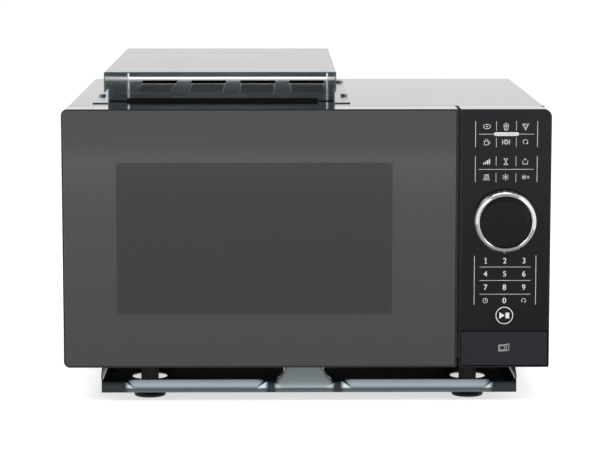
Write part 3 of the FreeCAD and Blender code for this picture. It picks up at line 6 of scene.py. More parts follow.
import bmesh
import bpy
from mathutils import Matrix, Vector

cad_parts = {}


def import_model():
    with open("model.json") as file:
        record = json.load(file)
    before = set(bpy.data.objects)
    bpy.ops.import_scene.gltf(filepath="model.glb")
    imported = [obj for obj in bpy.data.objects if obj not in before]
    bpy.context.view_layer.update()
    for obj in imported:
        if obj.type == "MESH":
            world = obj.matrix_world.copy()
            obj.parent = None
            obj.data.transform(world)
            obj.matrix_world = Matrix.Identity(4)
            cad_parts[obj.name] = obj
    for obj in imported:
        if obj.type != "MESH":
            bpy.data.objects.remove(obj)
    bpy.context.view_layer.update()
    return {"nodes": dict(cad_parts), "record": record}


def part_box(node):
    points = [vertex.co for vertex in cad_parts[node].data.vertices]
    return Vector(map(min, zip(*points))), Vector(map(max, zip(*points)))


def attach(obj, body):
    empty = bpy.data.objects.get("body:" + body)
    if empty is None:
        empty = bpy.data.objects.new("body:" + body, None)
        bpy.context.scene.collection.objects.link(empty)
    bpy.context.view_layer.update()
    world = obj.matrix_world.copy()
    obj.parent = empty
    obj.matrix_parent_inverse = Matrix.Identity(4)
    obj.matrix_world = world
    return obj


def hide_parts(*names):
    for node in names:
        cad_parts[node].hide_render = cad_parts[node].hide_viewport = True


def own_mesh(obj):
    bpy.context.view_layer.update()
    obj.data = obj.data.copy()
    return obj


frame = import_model()

MM = 0.001
DUCT_FLANGE = 15.5 * MM
SCREEN_PITCH = 1.35 * MM
STAGGERED_ROW = 0.866
tray_low, tray_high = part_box("mounting_tray")
TRAY_X = (tray_low.x + tray_high.x) / 2
RAMP_X = TRAY_X - 0.0048
glass_low, glass_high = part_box("door_glass")
front_y = glass_low.y


# ---------------------------------------------------------------- shader arithmetic


class Wire:
    """A socket of a shader tree, written in sums; node() adds any other node to the same tree."""

    def __init__(self, tree, socket=None):
        self.tree, self.socket = tree, socket

    def node(self, kind, settings=None, inputs=None, output=0):
        made = self.tree.nodes.new(kind)
        for name, value in (settings or {}).items():
            setattr(made, name, value)
        for name, value in (inputs or {}).items():
            if isinstance(value, Wire):
                self.tree.links.new(value.socket, made.inputs[name])
            else:
                made.inputs[name].default_value = value
        return Wire(self.tree, made.outputs[output] if len(made.outputs) else None)

    def maths(self, operation, *values):
        return self.node("ShaderNodeMath", {"operation": operation}, dict(enumerate(values)))

    def __add__(self, other):
        return self.maths("ADD", self, other)

    def __radd__(self, other):
        return self.maths("ADD", other, self)

    def __sub__(self, other):
        return self.maths("SUBTRACT", self, other)

    def __rsub__(self, other):
        return self.maths("SUBTRACT", other, self)

    def __mul__(self, other):
        return self.maths("MULTIPLY", self, other)

    def __rmul__(self, other):
        return self.maths("MULTIPLY", other, self)

    def __truediv__(self, other):
        return self.maths("DIVIDE", self, other)

    def __gt__(self, other):
        return self.maths("GREATER_THAN", self, other)

    def __lt__(self, other):
        return self.maths("LESS_THAN", self, other)

    def __abs__(self):
        return self.maths("ABSOLUTE", self)

    def wave(self):
        return self.maths("SINE", self)

    def root(self):
        return self.maths("SQRT", self)

    def whole(self):
        """The whole number at or below this one."""
        return self.maths("FLOOR", self)

    def rest(self):
        """What is left over above the whole number."""
        return self.maths("FRACT", self)

    def remainder(self, divisor):
        return self.maths("FLOORED_MODULO", self, divisor)

    def larger(self, other):
        return self.maths("MAXIMUM", self, other)

    def ramp(self, low, high):
        """0 below low and 1 above high, with a smooth turn between them."""
        inputs = {0: self, 1: low, 2: high}
        return self.node("ShaderNodeMapRange", {"interpolation_type": "SMOOTHSTEP"}, inputs)

    def tint(self, first, second):
        """The first colour where this wire is 0, and the second where it is 1."""
        inputs = {0: self, 6: first, 7: second}
        return self.node("ShaderNodeMix", {"data_type": "RGBA"}, inputs, output=2)

    def axes(self):
        """The three components of a vector."""
        split = self.node("ShaderNodeSeparateXYZ", inputs={0: self}).socket.node
        return [Wire(self.tree, out) for out in split.outputs]

    def stretched(self, x, y, z):
        inputs = {0: self, 1: (x, y, z)}
        return self.node("ShaderNodeVectorMath", {"operation": "MULTIPLY"}, inputs)

    def noise(self, scale, detail=2.0, roughness=0.5):
        inputs = {"Vector": self, "Scale": scale, "Detail": detail, "Roughness": roughness}
        return self.node("ShaderNodeTexNoise", inputs=inputs)

    def cells(self, scale, feature="F1", output=0):
        inputs = {"Vector": self, "Scale": scale}
        return self.node("ShaderNodeTexVoronoi", {"feature": feature}, inputs, output=output)

    def bumped(self, distance, strength=1.0, normal=None):
        """This height field as a normal, for heights of 0 to 1 times a distance in metres."""
        inputs = {"Height": self, "Distance": distance, "Strength": strength}
        if normal:
            inputs["Normal"] = normal
        return self.node("ShaderNodeBump", inputs=inputs)


def rgb(red, green, blue):
    return (red, green, blue, 1.0)


def grey(level):
    return (level, level, level, 1.0)


def emptied(thing):
    """The start of a material's or a world's tree, with no nodes in it."""
    thing.use_nodes = True
    thing.node_tree.nodes.clear()
    return Wire(thing.node_tree)


def finish(name, look):
    """A material. look(place) gets the object's own coordinates and returns the shader's sockets."""
    material = bpy.data.materials.new(name)
    start = emptied(material)
    place = start.node("ShaderNodeTexCoord", output=3)
    shader = start.node("ShaderNodeBsdfPrincipled", inputs=look(place))
    start.node("ShaderNodeOutputMaterial", inputs={"Surface": shader})
    material.diffuse_color = grey(0.2)
    return material


def rounded_edges(place, radius):
    """A normal that turns over sharp edges, as a bend or a moulded edge does."""
    return place.node("ShaderNodeBevel", {"samples": 6}, {"Radius": radius})


def upward(place):
    """How far a face points up: the height of its normal."""
    return place.node("ShaderNodeNewGeometry", output=1).axes()[2]


def from_hole(u, v):
    """The squared distance from the middle of a hole, for places given in pitches."""
    u, v = u.rest() - 0.5, v.rest() - 0.5
    return u * u + v * v


# ---------------------------------------------------------------- finishes


def case_enamel(place):
    """Gloss black enamel baked on sheet steel, with a trace of orange peel and fine dust."""
    peel = place.noise(420.0, 2.0)
    haze = place.noise(9.0, 4.0)
    dust = (place.cells(900.0) < 0.05) * (place.noise(60.0) > 0.62)
    return {
        "Base Color": dust.tint(haze.tint(rgb(0.010, 0.010, 0.011), rgb(0.016, 0.016, 0.017)), grey(0.07)),
        "Roughness": 0.07 + 0.07 * haze,
        "Normal": peel.bumped(0.00001, 0.4, rounded_edges(place, 0.0012)),
        "Coat Weight": 0.15, "Coat Roughness": 0.06,
    }


def matt_base_coat(place):
    """Matt black dip coat on the base plate, with the odd run and dust."""
    cloud = place.noise(18.0, 5.0)
    grain = place.noise(900.0, 2.0)
    return {
        "Base Color": cloud.tint(rgb(0.007, 0.007, 0.007), rgb(0.015, 0.015, 0.015)),
        "Roughness": 0.62 + 0.2 * grain,
        "Normal": grain.bumped(0.00004, 0.5, rounded_edges(place, 0.0008)),
    }


def moulded_black(place):
    """Polished black plastic of the door surround and the panel housing."""
    flow = place.stretched(1.0, 1.0, 0.3).noise(35.0, 3.0)
    return {
        "Base Color": flow.tint(rgb(0.007, 0.007, 0.008), rgb(0.012, 0.012, 0.013)),
        "Roughness": 0.07 + 0.04 * flow,
        "Coat Weight": 0.5, "Coat Roughness": 0.05,
        "Normal": place.noise(700.0).bumped(0.000004, 0.4, rounded_edges(place, 0.0006)),
    }


def inner_plastic(place):
    """Satin black plastic of the door's inner cover, with a spark-eroded grain."""
    grain = place.noise(1500.0, 3.0, 0.7)
    return {
        "Base Color": grain.tint(rgb(0.010, 0.010, 0.011), rgb(0.020, 0.020, 0.021)),
        "Roughness": 0.38 + 0.16 * grain,
        "Normal": grain.bumped(0.00005, 0.6, rounded_edges(place, 0.0005)),
    }


# limits of the see-through window in the door's glass
WINDOW_X = (glass_low.x + 52.1 * MM, glass_low.x + 326.1 * MM)
WINDOW_Z = (glass_low.z + 52.4 * MM, glass_low.z + 204.4 * MM)
WINDOW_CORNER = 4 * MM
WINDOW_FADE = 0.35 * MM


def past_straight_side(position, limits):
    """How far a place lies past the straight part of the window's side, and 0 along it."""
    first, last = limits
    straight = (last - first) / 2 - WINDOW_CORNER
    return (abs(position - (first + last) / 2) - straight).larger(0.0)


def mirrored_glass(place):
    """Dark half-mirrored glass: a printed frame, painted lighter towards the top as painted light, and a
    darker window with the screen behind it.
    """
    x, _, z = place.axes()
    dx, dz = past_straight_side(x, WINDOW_X), past_straight_side(z, WINDOW_Z)
    beyond = (dx * dx + dz * dz).root()
    window = 1 - beyond.ramp(WINDOW_CORNER - WINDOW_FADE, WINDOW_CORNER + WINDOW_FADE)
    height = z.ramp(glass_low.z, glass_high.z)
    row = z / (SCREEN_PITCH * STAGGERED_ROW)
    shift = row.whole().remainder(2.0) * 0.5
    dots = 1 - from_hole(x / SCREEN_PITCH + shift, row).ramp(0.05, 0.13)
    # painted light: the frame's tone grows lighter towards the top of the glass
    frame_with_painted_light = height.tint(rgb(0.124, 0.123, 0.119), rgb(0.148, 0.148, 0.143))
    window_tone = (dots * 0.35).tint(rgb(0.092, 0.092, 0.090), rgb(0.066, 0.066, 0.065))
    tone = window.tint(frame_with_painted_light, window_tone)
    rim = (z < glass_low.z + 4.5 * MM) * 0.5
    return {
        "Base Color": rim.tint(tone, rgb(0.118, 0.116, 0.134)),
        "Metallic": 0.86,
        "Roughness": 0.05 + 0.04 * place.noise(9.0, 3.0),
        "Normal": place.noise(5.0, 1.0).bumped(0.00008, 0.12),
        "Coat Weight": 0.3, "Coat Roughness": 0.03,
    }


def fascia_film(place):
    """Back-printed black film of the key panel, faintly violet, with a soft sheen and painted light that
    makes it lighter towards its top.
    """
    cloud = place.noise(26.0, 3.0)
    low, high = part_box("panel_fascia")
    height = place.axes()[2].ramp(low.z, high.z)
    # painted light: the film is painted lighter towards its top
    tone = height.tint(rgb(0.0030, 0.0029, 0.0040), rgb(0.0085, 0.0083, 0.0110))
    return {
        "Base Color": (cloud * 0.5).tint(tone, rgb(0.0090, 0.0088, 0.0110)),
        "Roughness": 0.12 + 0.05 * cloud,
        "Normal": place.noise(900.0).bumped(0.000004, 0.4),
        "Specular IOR Level": 0.36,
    }


def button_satin(place):
    grain = place.noise(1300.0, 3.0, 0.7)
    return {
        "Base Color": grain.tint(rgb(0.010, 0.0095, 0.013), rgb(0.016, 0.015, 0.020)),
        "Roughness": 0.20 + 0.08 * grain,
        "Normal": grain.bumped(0.00001, 0.5),
        "Specular IOR Level": 0.40,
    }


def chrome_plate(place):
    fine = place.noise(180.0, 3.0)
    return {
        "Base Color": fine.tint(rgb(0.78, 0.80, 0.81), rgb(0.86, 0.87, 0.87)),
        "Metallic": 1.0,
        "Roughness": 0.045 + 0.05 * fine,
        "Normal": place.noise(40.0).bumped(0.00003, 0.2),
    }


def display_glass(place):
    """Smoked window: black until the digits behind it light."""
    haze = place.noise(30.0, 3.0)
    return {
        "Base Color": haze.tint(rgb(0.0055, 0.0055, 0.0060), rgb(0.0085, 0.0085, 0.0090)),
        "Roughness": 0.10 + 0.06 * haze,
        "Normal": place.noise(60.0).bumped(0.00001, 0.2),
        "Specular IOR Level": 0.25,
    }


def white_ink(place):
    speck = place.noise(2600.0, 2.0)
    return {
        "Base Color": speck.tint(rgb(0.56, 0.56, 0.56), rgb(0.66, 0.66, 0.65)),
        "Roughness": 0.45 + 0.1 * speck,
        "Normal": speck.bumped(0.00001, 0.3),
    }


def duct_coating(place):
    """Blue-grey gloss coat on the exhaust duct's sheet, with painted light: its upright faces inside the
    duct take a far paler copy of the coat.
    """
    rolled = place.stretched(1.0, 0.02, 1.0).noise(900.0, 2.0)
    cloud = place.noise(11.0, 4.0)
    x, y, _ = place.axes()
    low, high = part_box("duct_cover")
    skin = 0.5 * MM
    upright = 1 - abs(upward(place)).ramp(0.3, 0.8)
    between_walls = (x > low.x + DUCT_FLANGE + skin) * (x < high.x - DUCT_FLANGE - skin)
    inside = between_walls * (y < high.y - skin) * (y > low.y + 2 * MM)
    flat_tone = cloud.tint(rgb(0.062, 0.085, 0.094), rgb(0.080, 0.104, 0.114))
    # painted light: a far paler copy of the coat for the upright faces inside the duct
    wall_painted_light = cloud.tint(rgb(0.410, 0.520, 0.590), rgb(0.470, 0.590, 0.650))
    return {
        "Base Color": (upright * inside).tint(flat_tone, wall_painted_light),
        "Metallic": 0.15,
        "Roughness": 0.12 + 0.05 * cloud,
        "Normal": rolled.bumped(0.000004, 0.4, rounded_edges(place, 0.0010)),
    }


def duct_floor_satin(place):
    """Satin grey coat of the plate under the duct, with painted shade: faces that don't point up, its
    turned-up front edge among them, are painted near black.
    """
    rolled = place.stretched(0.02, 1.0, 1.0).noise(1100.0, 2.0)
    cloud = place.noise(20.0)
    level = upward(place).ramp(0.4, 0.8)
    sheet = cloud.tint(rgb(0.36, 0.36, 0.365), rgb(0.43, 0.43, 0.435))
    return {
        # painted shade: faces that don't point up are painted near black
        "Base Color": level.tint(grey(0.008), sheet),
        "Metallic": 0.1,
        "Roughness": 0.14 + 0.08 * cloud,
        "Normal": rolled.bumped(0.000006, 0.4, rounded_edges(place, 0.0004)),
    }


def tray_coating(place):
    """Blue-grey gloss coat over the pressed tray, in painted light and shade: the deck painted near black as
    shade, the low lip a little paler, and the front-facing pressed forms far paler as painted light.
    """
    cloud = place.noise(16.0, 4.0)
    x, _, z = place.axes()
    facing = -1.0 * place.node("ShaderNodeNewGeometry", output=1).axes()[1]
    from_middle, from_ramp = abs(x - TRAY_X), abs(x - RAMP_X)
    land_beside_ramp = from_ramp.ramp(0.027, 0.031) * (1 - from_ramp.ramp(0.036, 0.041))
    formed = (1 - from_middle.ramp(0.180, 0.186)) * (1 - land_beside_ramp)
    # painted light: the front-facing pressed forms, picked out for paler copies of the coat
    pressed = facing.ramp(0.08, 0.42) * z.ramp(0.0125, 0.0150) * formed
    # painted shade: the deck's coat is painted near black
    deck_painted_shade = cloud.tint(rgb(0.010, 0.014, 0.017), rgb(0.016, 0.022, 0.026))
    # painted light and shade: the low front-facing lip takes a tone between the dark deck and the pale forms
    lip = facing.ramp(0.5, 0.8) * formed * (1 - z.ramp(0.0115, 0.0135))
    coat = lip.tint(deck_painted_shade, rgb(0.085, 0.110, 0.122))
    # painted light: pale copies of the coat for the bead and the ramp
    bead_painted_light = cloud.tint(rgb(0.66, 0.76, 0.83), rgb(0.74, 0.84, 0.90))
    ramp_painted_light = cloud.tint(rgb(0.43, 0.50, 0.53), rgb(0.52, 0.60, 0.63))
    return {
        "Base Color": pressed.tint(coat, (from_ramp < 0.034).tint(bead_painted_light, ramp_painted_light)),
        "Roughness": 0.10 + 0.06 * cloud + 0.16 * pressed,
        "Normal": place.noise(340.0, 2.0).bumped(0.00004, 0.5),
        "Coat Weight": 0.4, "Coat Roughness": 0.10,
    }


def foot_plastic(place):
    grain = place.noise(1200.0, 3.0, 0.7)
    scuffs = place.stretched(1.0, 1.0, 6.0).noise(90.0, 4.0).ramp(0.62, 0.75)
    return {
        "Base Color": scuffs.tint(rgb(0.010, 0.010, 0.010), rgb(0.030, 0.030, 0.031)),
        "Roughness": 0.42 + 0.2 * grain,
        "Normal": grain.bumped(0.00005, 0.6, rounded_edges(place, 0.0004)),
    }


def zinc_plate(place):
    bloom = place.noise(700.0, 3.0)
    return {
        "Base Color": bloom.tint(rgb(0.30, 0.31, 0.32), rgb(0.52, 0.53, 0.52)),
        "Metallic": 1.0,
        "Roughness": 0.22 + 0.2 * bloom,
        "Normal": bloom.bumped(0.00003, 0.4, rounded_edges(place, 0.0003)),
    }


def galvanised_sheet(place):
    """Spangled zinc: flat crystals of slightly different brightness."""
    crystal = place.cells(210.0, output=1).axes()[0]
    return {
        "Base Color": crystal.tint(rgb(0.36, 0.37, 0.38), rgb(0.52, 0.53, 0.54)),
        "Metallic": 0.9,
        "Roughness": 0.26 + 0.22 * crystal,
        "Normal": crystal.bumped(0.00002, 0.5, rounded_edges(place, 0.0005)),
    }


def oven_enamel(place):
    """Grey vitreous enamel with pale and dark specks."""
    dark = place.cells(520.0) < 0.16
    pale = place.stretched(1.3, 1.1, 0.9).cells(380.0) < 0.13
    tone = dark.tint(rgb(0.235, 0.24, 0.245), rgb(0.06, 0.062, 0.065))
    return {
        "Base Color": pale.tint(tone, rgb(0.52, 0.53, 0.53)),
        "Roughness": 0.22 + 0.12 * place.noise(30.0),
        "Normal": place.noise(240.0).bumped(0.00006, 0.5, rounded_edges(place, 0.0008)),
    }


def perforated_screen(place):
    """Black steel screen with a close field of round holes."""
    x, _, z = place.axes()
    land = from_hole(x / SCREEN_PITCH, z / SCREEN_PITCH).ramp(0.07, 0.12)
    return {
        "Base Color": land.tint(rgb(0.002, 0.002, 0.002), rgb(0.035, 0.035, 0.036)),
        "Roughness": 0.6 - 0.3 * land,
        "Normal": land.bumped(0.0001, 0.8),
    }


def clear_sheet(place):
    haze = place.noise(40.0, 3.0)
    return {
        "Base Color": haze.tint(rgb(0.80, 0.82, 0.82), rgb(0.88, 0.90, 0.90)),
        "Roughness": 0.06 + 0.06 * haze,
        "Alpha": 0.16 + 0.08 * haze,
        "Normal": haze.bumped(0.00002, 0.2),
    }


def clear_glass(place):
    ripple = place.noise(22.0, 2.0)
    return {
        "Base Color": ripple.tint(rgb(0.80, 0.90, 0.88), rgb(0.86, 0.94, 0.92)),
        "Roughness": 0.03 + 0.03 * ripple,
        "Transmission Weight": 1.0, "IOR": 1.5,
        "Normal": ripple.bumped(0.0001, 0.15),
    }


def mica_sheet(place):
    flakes = place.stretched(0.3, 1.0, 1.0).cells(150.0, output=1).axes()[0]
    return {
        "Base Color": flakes.tint(rgb(0.50, 0.44, 0.31), rgb(0.66, 0.60, 0.47)),
        "Roughness": 0.32 + 0.2 * flakes,
        "Normal": flakes.bumped(0.00003, 0.4),
    }


def white_moulding(place):
    grain = place.noise(900.0, 3.0)
    return {
        "Base Color": grain.tint(rgb(0.60, 0.59, 0.55), rgb(0.70, 0.69, 0.65)),
        "Roughness": 0.38 + 0.14 * grain,
        "Normal": grain.bumped(0.00003, 0.5, rounded_edges(place, 0.0005)),
    }


def grey_moulding(place):
    grain = place.noise(900.0, 3.0)
    return {
        "Base Color": grain.tint(rgb(0.055, 0.056, 0.058), rgb(0.085, 0.086, 0.088)),
        "Roughness": 0.40 + 0.14 * grain,
        "Normal": grain.bumped(0.00004, 0.5, rounded_edges(place, 0.0005)),
    }


def spring_wire(place):
    drawn = place.noise(1500.0, 2.0)
    return {
        "Base Color": drawn.tint(rgb(0.42, 0.43, 0.44), rgb(0.60, 0.60, 0.60)),
        "Metallic": 1.0,
        "Roughness": 0.24 + 0.16 * drawn,
    }


def copper_winding(place):
    """Lacquered wire laid in close turns, painted with a highlight along each turn and shade between turns.
    """
    _, _, z = place.axes()
    turns = (z * (math.tau / (1.1 * MM))).wave()
    return {
        # painted highlight and painted shade: each turn bright along its crest and dark between turns
        "Base Color": (turns * 0.5 + 0.5).tint(rgb(0.20, 0.060, 0.022), rgb(0.62, 0.26, 0.10)),
        "Metallic": 0.8,
        "Roughness": 0.34 + 0.1 * place.noise(300.0),
        "Normal": turns.bumped(0.0002, 0.8),
    }


def lamination_stack(place):
    """The edges of varnished steel sheets, half a millimetre each."""
    _, y, _ = place.axes()
    sheets = (y * (math.tau / (1.0 * MM))).wave()
    rust = place.noise(120.0, 5.0).ramp(0.55, 0.75)
    return {
        "Base Color": (rust * 0.5).tint(rgb(0.11, 0.11, 0.12), rgb(0.16, 0.09, 0.05)),
        "Metallic": 0.6,
        "Roughness": 0.45 + 0.15 * rust,
        "Normal": sheets.bumped(0.0001, 0.6),
    }


def bright_aluminium(place):
    drawn = place.stretched(1.0, 0.05, 1.0).noise(800.0, 2.0)
    return {
        "Base Color": drawn.tint(rgb(0.60, 0.61, 0.62), rgb(0.74, 0.75, 0.76)),
        "Metallic": 1.0,
        "Roughness": 0.22 + 0.16 * drawn,
        "Normal": drawn.bumped(0.00002, 0.4, rounded_edges(place, 0.0006)),
    }


def circuit_board(place):
    """Solder mask over copper tracks."""
    x, _, z = place.axes()
    jog = place.cells(260.0, output=1).axes()[0]
    tracks = (x * 900.0 + jog * 9.0).wave().larger((z * 900.0 + jog * 7.0).wave()) > 0.72
    return {
        "Base Color": tracks.tint(rgb(0.012, 0.070, 0.030), rgb(0.022, 0.125, 0.055)),
        "Roughness": 0.30 + 0.15 * place.noise(200.0),
        "Normal": tracks.bumped(0.00004, 0.6),
    }


def pink_ceramic(place):
    grain = place.noise(1100.0, 3.0)
    return {
        "Base Color": grain.tint(rgb(0.60, 0.36, 0.33), rgb(0.72, 0.46, 0.42)),
        "Roughness": 0.34 + 0.12 * grain,
        "Normal": grain.bumped(0.00002, 0.4),
    }


def black_rubber(place):
    grain = place.noise(1300.0, 3.0, 0.7)
    return {
        "Base Color": grain.tint(rgb(0.010, 0.010, 0.010), rgb(0.020, 0.020, 0.020)),
        "Roughness": 0.55 + 0.2 * grain,
        "Normal": grain.bumped(0.00005, 0.6),
    }


SLOT_LOOKS = {
    "moulded_black": moulded_black, "door_glass": mirrored_glass, "fascia_black": fascia_film,
    "button_black": button_satin, "galvanised": galvanised_sheet, "perforated": perforated_screen,
    "clear_sheet": clear_sheet, "grey_plastic": grey_moulding, "white_plastic": white_moulding,
    "spring_steel": spring_wire, "case_paint": case_enamel, "cavity_enamel": oven_enamel,
    "mica": mica_sheet, "glass_clear": clear_glass, "chrome": chrome_plate, "display": display_glass,
    "duct_steel": duct_coating, "duct_floor": duct_floor_satin, "tray_steel": tray_coating,
    "foot_rubber": foot_plastic, "screw_zinc": zinc_plate, "copper": copper_winding,
    "lamination": lamination_stack, "aluminium": bright_aluminium, "board_green": circuit_board,
    "ceramic": pink_ceramic, "black_rubber": black_rubber,
}

materials = {slot: finish(slot, look) for slot, look in SLOT_LOOKS.items()}
materials["door_inner"] = finish("door_inner", inner_plastic)
materials["base_coat"] = finish("base_coat", matt_base_coat)
materials["white_ink"] = finish("white_ink", white_ink)

node_slots = {part["node"]: part["material_slot"] for part in frame["record"]["subparts"]}
special = {"door_choke_cover": "door_inner", "base_plate": "base_coat"}
for node, thing in frame["nodes"].items():
    chosen = special.get(node, node_slots[node])
    for slot in thing.material_slots:
        slot.material = materials[chosen]


# ---------------------------------------------------------------- making pieces


def loose_object(name, data):
    made = bpy.data.objects.new(name, data)
    bpy.context.scene.collection.objects.link(made)
    return made


def worked_mesh(thing):
    """A new mesh of the object as its modifiers or its lettering make it."""
    return bpy.data.meshes.new_from_object(thing.evaluated_get(bpy.context.evaluated_depsgraph_get()))


def piece(name, mesh, body, material):
    """An object that rides on a body and takes a material."""
    made = loose_object(name, mesh)
    mesh.materials.clear()
    mesh.materials.append(material)
    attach(made, body)
    return made


def mesh_from(name, build):
    """A mesh that build(bm) fills."""
    mesh = bpy.data.meshes.new(name)
    bm = bmesh.new()
    build(bm)
    bmesh.ops.recalc_face_normals(bm, faces=bm.faces)
    bm.to_mesh(mesh)
    bm.free()
    return mesh


# ---------------------------------------------------------------- printed keys


INK = 0.04 * MM
LINE = 0.46 * MM
FINE_LINE = 0.8 * LINE
SHARPEST_MITRE = 0.4
ARC_STEP = 12
DISC_SIDES = 20
CAP_SHARE = 0.70
DIGIT_WEIGHT = 0.012


def on_circle(centre, radius, turn):
    return centre[0] + radius * math.cos(turn), centre[1] + radius * math.sin(turn)


class Print:
    """Flat ink on a face that looks along -Y: strokes, discs and digits, all in one mesh."""

    def __init__(self, face_y):
        self.bm, self.y = bmesh.new(), face_y

    def area(self, outline):
        """A filled outline of (x, z) points, as a thin closed slab."""
        front = [self.bm.verts.new((x, self.y - INK, z)) for x, z in outline]
        back = [self.bm.verts.new((x, self.y, z)) for x, z in outline]
        self.bm.faces.new(front)
        self.bm.faces.new(back[::-1])
        for i in range(len(outline)):
            j = (i + 1) % len(outline)
            self.bm.faces.new((front[j], front[i], back[i], back[j]))

    def line(self, points, width=LINE, closed=False):
        """A stroke of even width through (x, z) points, mitred at its corners."""
        count = len(points)
        sides = []
        for i in range(count):
            here = Vector(points[i])
            before = Vector(points[i - 1]) if i or closed else None
            after = Vector(points[(i + 1) % count]) if i < count - 1 or closed else None
            first = (here - before).normalized() if before is not None else (after - here).normalized()
            last = (after - here).normalized() if after is not None else first
            across = first.orthogonal() + last.orthogonal()
            across = across.normalized() if across.length > 1e-6 else first.orthogonal()
            reach = width / 2 / max(across.dot(first.orthogonal()), SHARPEST_MITRE)
            sides.append((here + across * reach, here - across * reach))
        for i in range(count if closed else count - 1):
            a, b = sides[i], sides[(i + 1) % count]
            self.area([a[0], b[0], b[1], a[1]])

    def arc(self, centre, radius, start, end, width=LINE):
        """A stroke along a circle, between two angles in degrees."""
        whole = abs(end - start) >= 360
        steps = max(6, int(abs(end - start) / ARC_STEP))
        points = []
        for i in range(steps if whole else steps + 1):
            turn = math.radians(start + (end - start) * i / steps)
            points.append(on_circle(centre, radius, turn))
        self.line(points, width, closed=whole)

    def disc(self, centre, radius):
        self.area([on_circle(centre, radius, math.tau * i / DISC_SIDES) for i in range(DISC_SIDES)])

    def digit(self, text, centre, height):
        curve = bpy.data.curves.new("digit_outline", "FONT")
        curve.body, curve.size = text, height / CAP_SHARE
        curve.align_x, curve.align_y = "CENTER", "CENTER"
        curve.extrude, curve.resolution_u = INK / 2, 5
        curve.offset = height * DIGIT_WEIGHT
        carrier = loose_object("digit_outline", curve)
        flat = worked_mesh(carrier)
        bpy.data.objects.remove(carrier)
        bpy.data.curves.remove(curve)
        low = min(v.co.y for v in flat.vertices)
        high = max(v.co.y for v in flat.vertices)
        for vertex in flat.vertices:
            x, up, out = vertex.co
            vertex.co = (centre[0] + x, self.y - INK / 2 - out, centre[1] + up - (low + high) / 2)
        self.bm.from_mesh(flat)
        bpy.data.meshes.remove(flat)

    def done(self, name, body):
        bmesh.ops.remove_doubles(self.bm, verts=self.bm.verts, dist=1e-7)
        bmesh.ops.recalc_face_normals(self.bm, faces=self.bm.faces)
        mesh = bpy.data.meshes.new(name)
        self.bm.to_mesh(mesh)
        self.bm.free()
        return piece(name, mesh, body, materials["white_ink"])


# Each drawing fits a square from -1 to 1, and is placed round a centre at a size.


def scaled(points, centre, size):
    return [(centre[0] + x * size, centre[1] + z * size) for x, z in points]


def draw_potato(ink, at, size):
    turns = [math.tau * i / 18 for i in range(18)]
    ink.line(scaled([(0.95 * math.cos(t), 0.6 * math.sin(t)) for t in turns], at, size), closed=True)
    ink.line(scaled([(-0.35, 0.0), (0.35, 0.0)], at, size))
    ink.line(scaled([(0.0, -0.25), (0.0, 0.25)], at, size))


def draw_popcorn(ink, at, size):
    ink.line(scaled([(-0.6, 0.1), (-0.4, -0.95), (0.4, -0.95), (0.6, 0.1)], at, size), closed=True)
    ink.line(scaled([(0.0, 0.1), (0.0, -0.95)], at, size))
    for x, z in ((-0.4, 0.4), (0.0, 0.7), (0.4, 0.4)):
        ink.arc((at[0] + x * size, at[1] + z * size), 0.26 * size, 0, 360, FINE_LINE)


def draw_pizza(ink, at, size):
    ink.line(scaled([(-0.8, 0.65), (0.8, 0.65), (0.0, -0.95)], at, size), closed=True)
    for x, z in ((-0.25, 0.28), (0.28, 0.2), (0.0, -0.3)):
        ink.disc((at[0] + x * size, at[1] + z * size), 0.13 * size)


def draw_mug(ink, at, size):
    ink.line(scaled([(-0.7, 0.25), (-0.6, -0.8), (0.35, -0.8), (0.45, 0.25)], at, size), closed=True)
    ink.arc((at[0] + 0.5 * size, at[1] - 0.25 * size), 0.3 * size, -80, 80)
    for x in (-0.4, 0.1):
        ink.line(scaled([(x, 0.45), (x + 0.12, 0.65), (x, 0.85)], at, size), FINE_LINE)


def draw_plate(ink, at, size):
    ink.arc(at, 0.6 * size, 0, 360)
    ink.arc(at, 0.34 * size, 0, 360, FINE_LINE)
    ink.line(scaled([(-0.95, 0.7), (-0.95, -0.7)], at, size))
    ink.line(scaled([(0.95, 0.7), (0.95, -0.7)], at, size))


def draw_turn(ink, at, size):
    """An arrow that goes round: heat again, or start again."""
    radius, start = 0.62, -40
    ink.arc(at, radius * size, start, 240)
    x, z = on_circle((0.0, 0.0), radius, math.radians(start))
    ink.area(scaled([(x - 0.3, z + 0.1), (x + 0.3, z + 0.12), (x - 0.05, z - 0.3)], at, size))


def draw_bars(ink, at, size):
    for i in range(4):
        x, high = -0.75 + 0.5 * i, -0.25 + 0.33 * i
        ink.area(scaled([(x - 0.15, -0.7), (x + 0.15, -0.7), (x + 0.15, high), (x - 0.15, high)], at, size))


def draw_clock(ink, at, size):
    ink.arc(at, 0.72 * size, 0, 360)
    ink.line(scaled([(0.0, 0.45), (0.0, 0.0), (0.32, -0.18)], at, size))


def draw_hourglass(ink, at, size):
    ink.line(scaled([(-0.5, 0.8), (0.5, 0.8), (-0.5, -0.8), (0.5, -0.8)], at, size), closed=True)


def draw_pot(ink, at, size):
    ink.line(scaled([(-0.65, 0.2), (-0.6, -0.65), (0.6, -0.65), (0.65, 0.2)], at, size), closed=True)
    ink.line(scaled([(-0.85, 0.2), (0.85, 0.2)], at, size))
    ink.arc((at[0], at[1] + 0.2 * size), 0.45 * size, 25, 155)
    ink.disc((at[0], at[1] + 0.78 * size), 0.11 * size)


def draw_scale(ink, at, size):
    ink.line(scaled([(-0.75, -0.75), (0.75, -0.75), (0.5, 0.3), (-0.5, 0.3)], at, size), closed=True)
    ink.line(scaled([(-0.7, 0.62), (0.7, 0.62)], at, size))
    ink.line(scaled([(0.0, 0.3), (0.0, 0.62)], at, size))
    ink.arc((at[0], at[1] - 0.25 * size), 0.26 * size, 0, 360, FINE_LINE)


